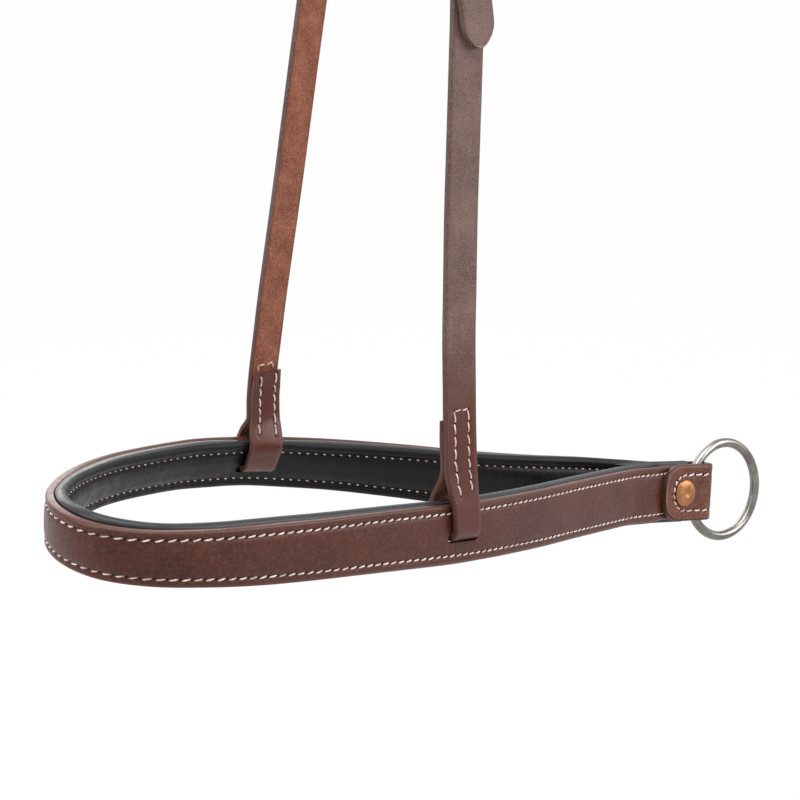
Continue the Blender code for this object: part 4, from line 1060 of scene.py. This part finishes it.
# the ring's own frame: x towards the ring, y to the off side, z up
ring_frame = band_frame(0.0)
ring_x = -ring_frame[1]
ring_z = unit(ring_frame[3] - (ring_frame[3] @ ring_x) * ring_x)
ring_y = np.cross(ring_z, ring_x)
tab_origin = LOOP_TO_WORLD @ np.array([RING_REACH, 0.0, lift(RING_REACH)])
a = circle(180)
round_ring = (RING_OUTER - RING_WIRE) / 2 * (np.outer(np.cos(a), ring_x) + np.outer(np.sin(a), ring_z))
tie_ring = wire("tie_ring_steel", tab_origin + ring_x * RING_AHEAD + round_ring, RING_WIRE / 2, STEEL, 24)

buckle_half = STRAP_WIDTH / 2 + SIDE_PLAY + BAR
outline = [p[:2] for p in rounded_box(-buckle_half, buckle_half, 0.0, rise_top, BUCKLE_CORNER, 8)]
dense = []
for p, q in zip(outline, outline[1:] + outline[:1]):
    parts = max(1, round(math.hypot(q[0] - p[0], q[1] - p[1]) / 1.2))
    dense += [(p[0] + (q[0] - p[0]) * k / parts, p[1] + (q[1] - p[1]) * k / parts) for k in range(parts)]
buckle_frame = wire("buckle_frame_steel", [at_buckle(0, y, x) for x, y in dense], BAR, STEEL, 16)

# the tongue is a flat bar bent round the heel bar, its point resting on the far bar; each point has its half thickness
eye = BAR + TOUCH + 0.85
pin_rest = BAR + TOUCH + 0.95
tongue = [(o, u, 0.8) for o, u in arc(0.0, 0.0, eye, range(100, 361, 12))]
tongue += [(pin_rest + 0.1, 2.4, 0.85), (pin_rest + 0.25, 5.0, 0.95), (pin_rest + 0.2, 10.0, 0.95),
           (pin_rest + 0.05, 17.0, 0.9), (pin_rest, rise_top, 0.8), (pin_rest - 0.1, rise_top + 1.7, 0.7),
           (pin_rest - 0.35, rise_top + 2.6, 0.5), (pin_rest - 0.5, rise_top + 3.0, 0.2)]
tongue = spline(tongue, 3)
beside = np.concatenate([tongue[:1], tongue, tongue[-1:]])[:, :2]
squarish = [[math.copysign(abs(c) ** 0.5, c) for c in (math.cos(a), math.sin(a))] for a in circle(16)]
grid = []
for (o, u, t), (ahead_o, ahead_u) in zip(tongue, unit(beside[2:] - beside[:-2])):
    half_wide = 1.25 * (0.45 + 0.55 * min(1.0, t / 0.75))
    grid.append([at_buckle(o + ahead_u * t * y, u - ahead_o * t * y, half_wide * x) for x, y in squarish])
buckle_tongue = skin("buckle_tongue_steel", np.array(grid), [STEEL])

# tab folded round the ring
TAB_TIP = 13.0
TAB_ROW = 8.9
ROW_TURN = 7.6
ROW_END_IN = 7.2
stack = outer + TOUCH + TAB_THICK / 2
fold_in = TAB_FOLD_REACH - TAB_THICK / 2
tab_back = TAB_LENGTH - TAB_FOLD_REACH
bend = stack + 0.25


def band_offset(back, side):
    point, tangent, out, up = band_frame(back if side < 0 else total - back)
    p = point + out * stack - tab_origin
    return p @ ring_x, p @ ring_y


limb = (1.0, 0.85, 0.6, 0.35, 0.1)
flat_line = spline([band_offset(tab_back * share, -1) for share in limb]
                   + arc(fold_in - bend, 0.0, bend, (-90, -55, -20, 0, 20, 55, 90))
                   + [band_offset(tab_back * share, 1) for share in limb[::-1]], 16)
tab_line = tab_origin + np.outer(flat_line[:, 0], ring_x) + np.outer(flat_line[:, 1], ring_y)
tab_run = lengths(tab_line)
tab_whole = tab_run[-1]
fold_at = float(tab_run[int(np.argmax(flat_line[:, 0]))])


def tab_frames(m):
    return follow(m, tab_run, tab_line), np.cross(ring_z, heading(m, tab_run, tab_line))


def tab_row(from_end):
    """One row from the fold, round the rivet and back to the fold, in (length, width)."""
    turn_at = ROW_END_IN + ROW_TURN
    pts = [(fold_at - 1.5, -TAB_ROW), (turn_at + 3.0, -TAB_ROW)]
    pts += [(turn_at + ROW_TURN * x, TAB_ROW * y) for x, y in arc(0.0, 0.0, 1.0, range(-90, -271, -15))]
    pts = np.array(pts + [(turn_at + 3.0, TAB_ROW), (fold_at - 1.5, TAB_ROW)])
    run = lengths(pts)
    s = np.linspace(0, run[-1], 400)
    pitch = np.where(follow(s, run, pts)[:, 0] < turn_at, TAB_TURN_PITCH, TAB_PITCH)
    row = follow(even_holes(np.diff(s) / pitch[1:], s), run, pts)
    if from_end:
        row[:, 0] = tab_whole - row[:, 0]
    return row


tab_rows = [tab_row(False), tab_row(True)]
marks = np.linspace(0, tab_whole, 160)
tip = TAB_TIP * (1 - np.cos(np.linspace(0, math.pi / 2, 20)))
marks = np.sort(np.concatenate([marks[(marks > TAB_TIP) & (marks < tab_whole - TAB_TIP)], tip, tab_whole - tip]))
from_end = np.minimum(marks, tab_whole - marks)[:, None]
pts = cut_section(TAB_WIDTH / 2, TAB_THICK / 2, 1.1, 0.5, (40, 6), (72, 54, 36, 18, 0), (0, -30, -60))
grain_face = pts[:, 2] == 0
wide = 0.12 + 0.88 * np.sqrt(1 - (1 - np.clip(from_end / TAB_TIP, 0, 1)) ** 2)
u = pts[:, 0] * wide
seam, beat = seam_marks(pairs(marks[:, None], u), tab_rows, slant=0.25)
v = pts[:, 1] - np.where(grain_face, hole_dents(seam, beat, TAB_PITCH, channel=0.2, dent=0.3), 0.0)
edge_gap = np.minimum(TAB_WIDTH / 2 * wide - np.abs(u), from_end * 0.9)
point, normal = tab_frames(marks)
grain_side = -1 if normal[len(marks) // 2] @ ring_x < 0 else 1
ring_tab = skin("ring_tab_leather", swept(point, ring_z[None], u, normal, v * grain_side),
                [TAB_GRAIN, TAB_EDGE, FLESH],
                (np.where(grain_face, seam, 0.0), beat, np.maximum(0.0, SEAM_REACH - edge_gap)), pts[:, 2])
holes = []
for row in tab_rows:
    point, normal = tab_frames(row[:, 0])
    normal = normal * grain_side
    holes.append((point + ring_z * row[:, 1:2] + normal * (TAB_THICK / 2 - THREAD_SHIFT), normal, 0.74))
tab_stitches = sew("ring_tab_stitches", holes, **{"Slant": math.radians(12), "Rise": 0.0003,
                                                  "Thread thickness": 0.0008, "Unevenness": 0.16})

# copper rivet: domed and hammered head on the near side, and its riveted end on the off side
rivet_at = tab_origin - ring_x * RIVET_BACK
face = stack + TAB_THICK / 2 + 0.25
head = RIVET_HEAD / 2
shank = RIVET_SHANK / 2
turn = circle(64)
knots = [(-face - 2.2, 0.2), (-face - 2.2, 1.1), (-face - 1.7, shank), (face + 0.04, shank), (face + 0.05, shank + 0.1),
         (face + 0.05, head - 0.4), (face + 0.45, head), (face + 1.0, head - 0.45), (face + 1.55, head - 1.7),
         (face + 1.85, head - 3.4), (face + 1.9, 1.5), (face + 1.9, 0.15)]
d, r = np.split(spline(knots, 5), 2, axis=1)
x = r * np.cos(turn)
y = r * np.sin(turn)
blow = 0.05 * np.sin(x * 1.5 + 0.6) * np.sin(y * 1.7 + 1.1) - 0.45 * np.exp(-((r - 0.2) / 1.3) ** 2)
blow = blow * (d >= face + 0.7) * np.maximum(0.0, 1 - (r / head) ** 4)
grid = rivet_at - (d + blow)[..., None] * ring_y + x[..., None] * ring_x + y[..., None] * ring_z
rivet = skin("rivet_copper", grid, [COPPER])

# the burr, a copper washer under the riveted end
burr_in = shank + 0.15
section = [(face + 0.1, burr_in), (face + 0.1, head - 0.9), (face + 0.25, head - 0.6), (face + 0.6, head - 0.45),
           (face + 1.0, head - 0.6), (face + 1.25, head - 1.1), (face + 1.3, head - 1.8), (face + 1.3, burr_in + 0.3),
           (face + 1.15, burr_in)]
grid = [[rivet_at + ring_y * d + (ring_x * math.cos(a) + ring_z * math.sin(a)) * r for d, r in section] for a in turn]
rivet_burr = skin("rivet_burr_copper", np.array(grid), [COPPER], ring_closed=True)

# what rides on what
for piece, body, nodes in (
        (nose_strap, "nose_band", ["nose_strap"]), (lining, "nose_band", ["nose_lining", "nose_pad_core"]),
        (ring_tab, "nose_band", ["ring_tab"]), (rivet, "nose_band", ["rivet"]),
        (rivet_burr, "nose_band", ["rivet_burr"]), (cheek_strap, "headpiece", ["cheek_strap"]),
        (crown_strap, "headpiece", ["crown_strap"]), (fixed_keeper, "headpiece", ["fixed_keeper"]),
        (buckle_frame, "headpiece", ["buckle_frame"]), (buckle_tongue, "buckle_tongue", ["buckle_tongue"]),
        (sliding_keeper, "sliding_keeper", ["sliding_keeper"]), (tie_ring, "tie_ring", ["tie_ring"])):
    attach(piece, body)
    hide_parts(*nodes)
for piece, body, slot in ((welts[0], "nose_band", "nose_lining"), (welts[1], "nose_band", "nose_lining"),
                          (nose_stitches, "nose_band", "nose_strap"), (lining_stitches, "nose_band", "nose_lining"),
                          (tab_stitches, "nose_band", "ring_tab"), (strap_stitches, "headpiece", "cheek_strap")):
    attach(piece, body)


def stand(ob, x, y, z, where):
    """Turns a camera or a lamp by its three directions, puts it in its place and links it."""
    ob.matrix_world = Matrix([[x[i], y[i], z[i], where[i]] for i in range(3)] + [[0, 0, 0, 1]])
    scene.collection.objects.link(ob)


# camera at the photograph's angle
forward = unit(np.array([0.5702, 0.7630, -0.3045]))
right = unit(np.array([0.8011, -0.5986, 0.0]))
camera = bpy.data.cameras.new("camera")
camera.lens = 90.0
camera.sensor_width = 36.0
camera.clip_end = 20.0
camera_ob = bpy.data.objects.new("camera", camera)
stand(camera_ob, right, np.cross(right, forward), -forward, place((-471.8, -661.9, 304.0)))
scene.camera = camera_ob
scene.view_settings.view_transform = "Standard"

# four softboxes aimed at the middle of the band: place, size and power
LIT_POINT = np.array([0.0, 0.0, -0.45])
for name, where, size, power in (
        ("right_box", (1.3, -1.05, 0.35), (1.3, 1.2), 24.0), ("left_box", (-1.5, 0.1, 0.35), (1.1, 1.3), 16.0),
        ("top_box", (-0.1, -0.2, 1.0), (1.5, 1.1), 26.0), ("back_box", (0.4, 1.6, 0.3), (1.6, 1.2), 15.0)):
    lamp = bpy.data.lights.new(name, "AREA")
    lamp.shape = "RECTANGLE"
    lamp.size = size[0]
    lamp.size_y = size[1]
    lamp.energy = power
    back = unit(np.array(where) - LIT_POINT)
    side = unit(np.cross((0.0, 0.0, 1.0), back)) if abs(back[2]) < 0.99 else SIDEWAYS
    stand(bpy.data.objects.new(name, lamp), side, np.cross(back, side), back, where)


def in_view(tree):
    """1 for a ray that is seen straight, through something or in a reflection, else 0."""
    rays = add(tree, "LightPath").outputs
    seen = add(tree, "Math", {0: rays["Is Camera Ray"], 1: rays["Is Transmission Ray"]}, operation="MAXIMUM")
    return add(tree, "Math", {0: seen, 1: rays["Is Glossy Ray"]}, operation="MAXIMUM")


# white room and white paper floor
ROOM_LIGHT = 0.42
WHITE = (1, 1, 1, 1)
world = bpy.data.worlds.new("studio")
scene.world = world
world.use_nodes = True
sky = world.node_tree
sky.nodes.clear()
plain = add(sky, "Background", {"Color": WHITE, "Strength": ROOM_LIGHT})
white = add(sky, "Background", {"Color": WHITE, "Strength": 1.0})
pick = add(sky, "MixShader", {0: in_view(sky), 1: plain, 2: white})
add(sky, "OutputWorld", {0: pick})

floor_mesh = bpy.data.meshes.new("floor")
floor_mesh.from_pydata([(-6, -6, -0.95), (6, -6, -0.95), (6, 6, -0.95), (-6, 6, -0.95)], [], [(0, 1, 2, 3)])
floor = bpy.data.objects.new("floor", floor_mesh)
scene.collection.objects.link(floor)
paper = bpy.data.materials.new("white_paper_floor")
paper.use_nodes = True
tree = paper.node_tree
shader = tree.nodes["Principled BSDF"]
shader.inputs["Base Color"].default_value = (0.9, 0.9, 0.9, 1)
shader.inputs["Roughness"].default_value = 0.9
glow = add(tree, "Emission", {"Color": WHITE, "Strength": 1.0})
share = add(tree, "Math", {0: in_view(tree), 1: 0.97}, **TIMES)
mix = add(tree, "MixShader", {0: share, 1: shader, 2: glow})
tree.links.new(mix.outputs[0], tree.nodes["Material Output"].inputs[0])
floor_mesh.materials.append(paper)
floor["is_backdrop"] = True

size = [[list(map(float, corner)) for corner in box] for box in (cad_box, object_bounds())]
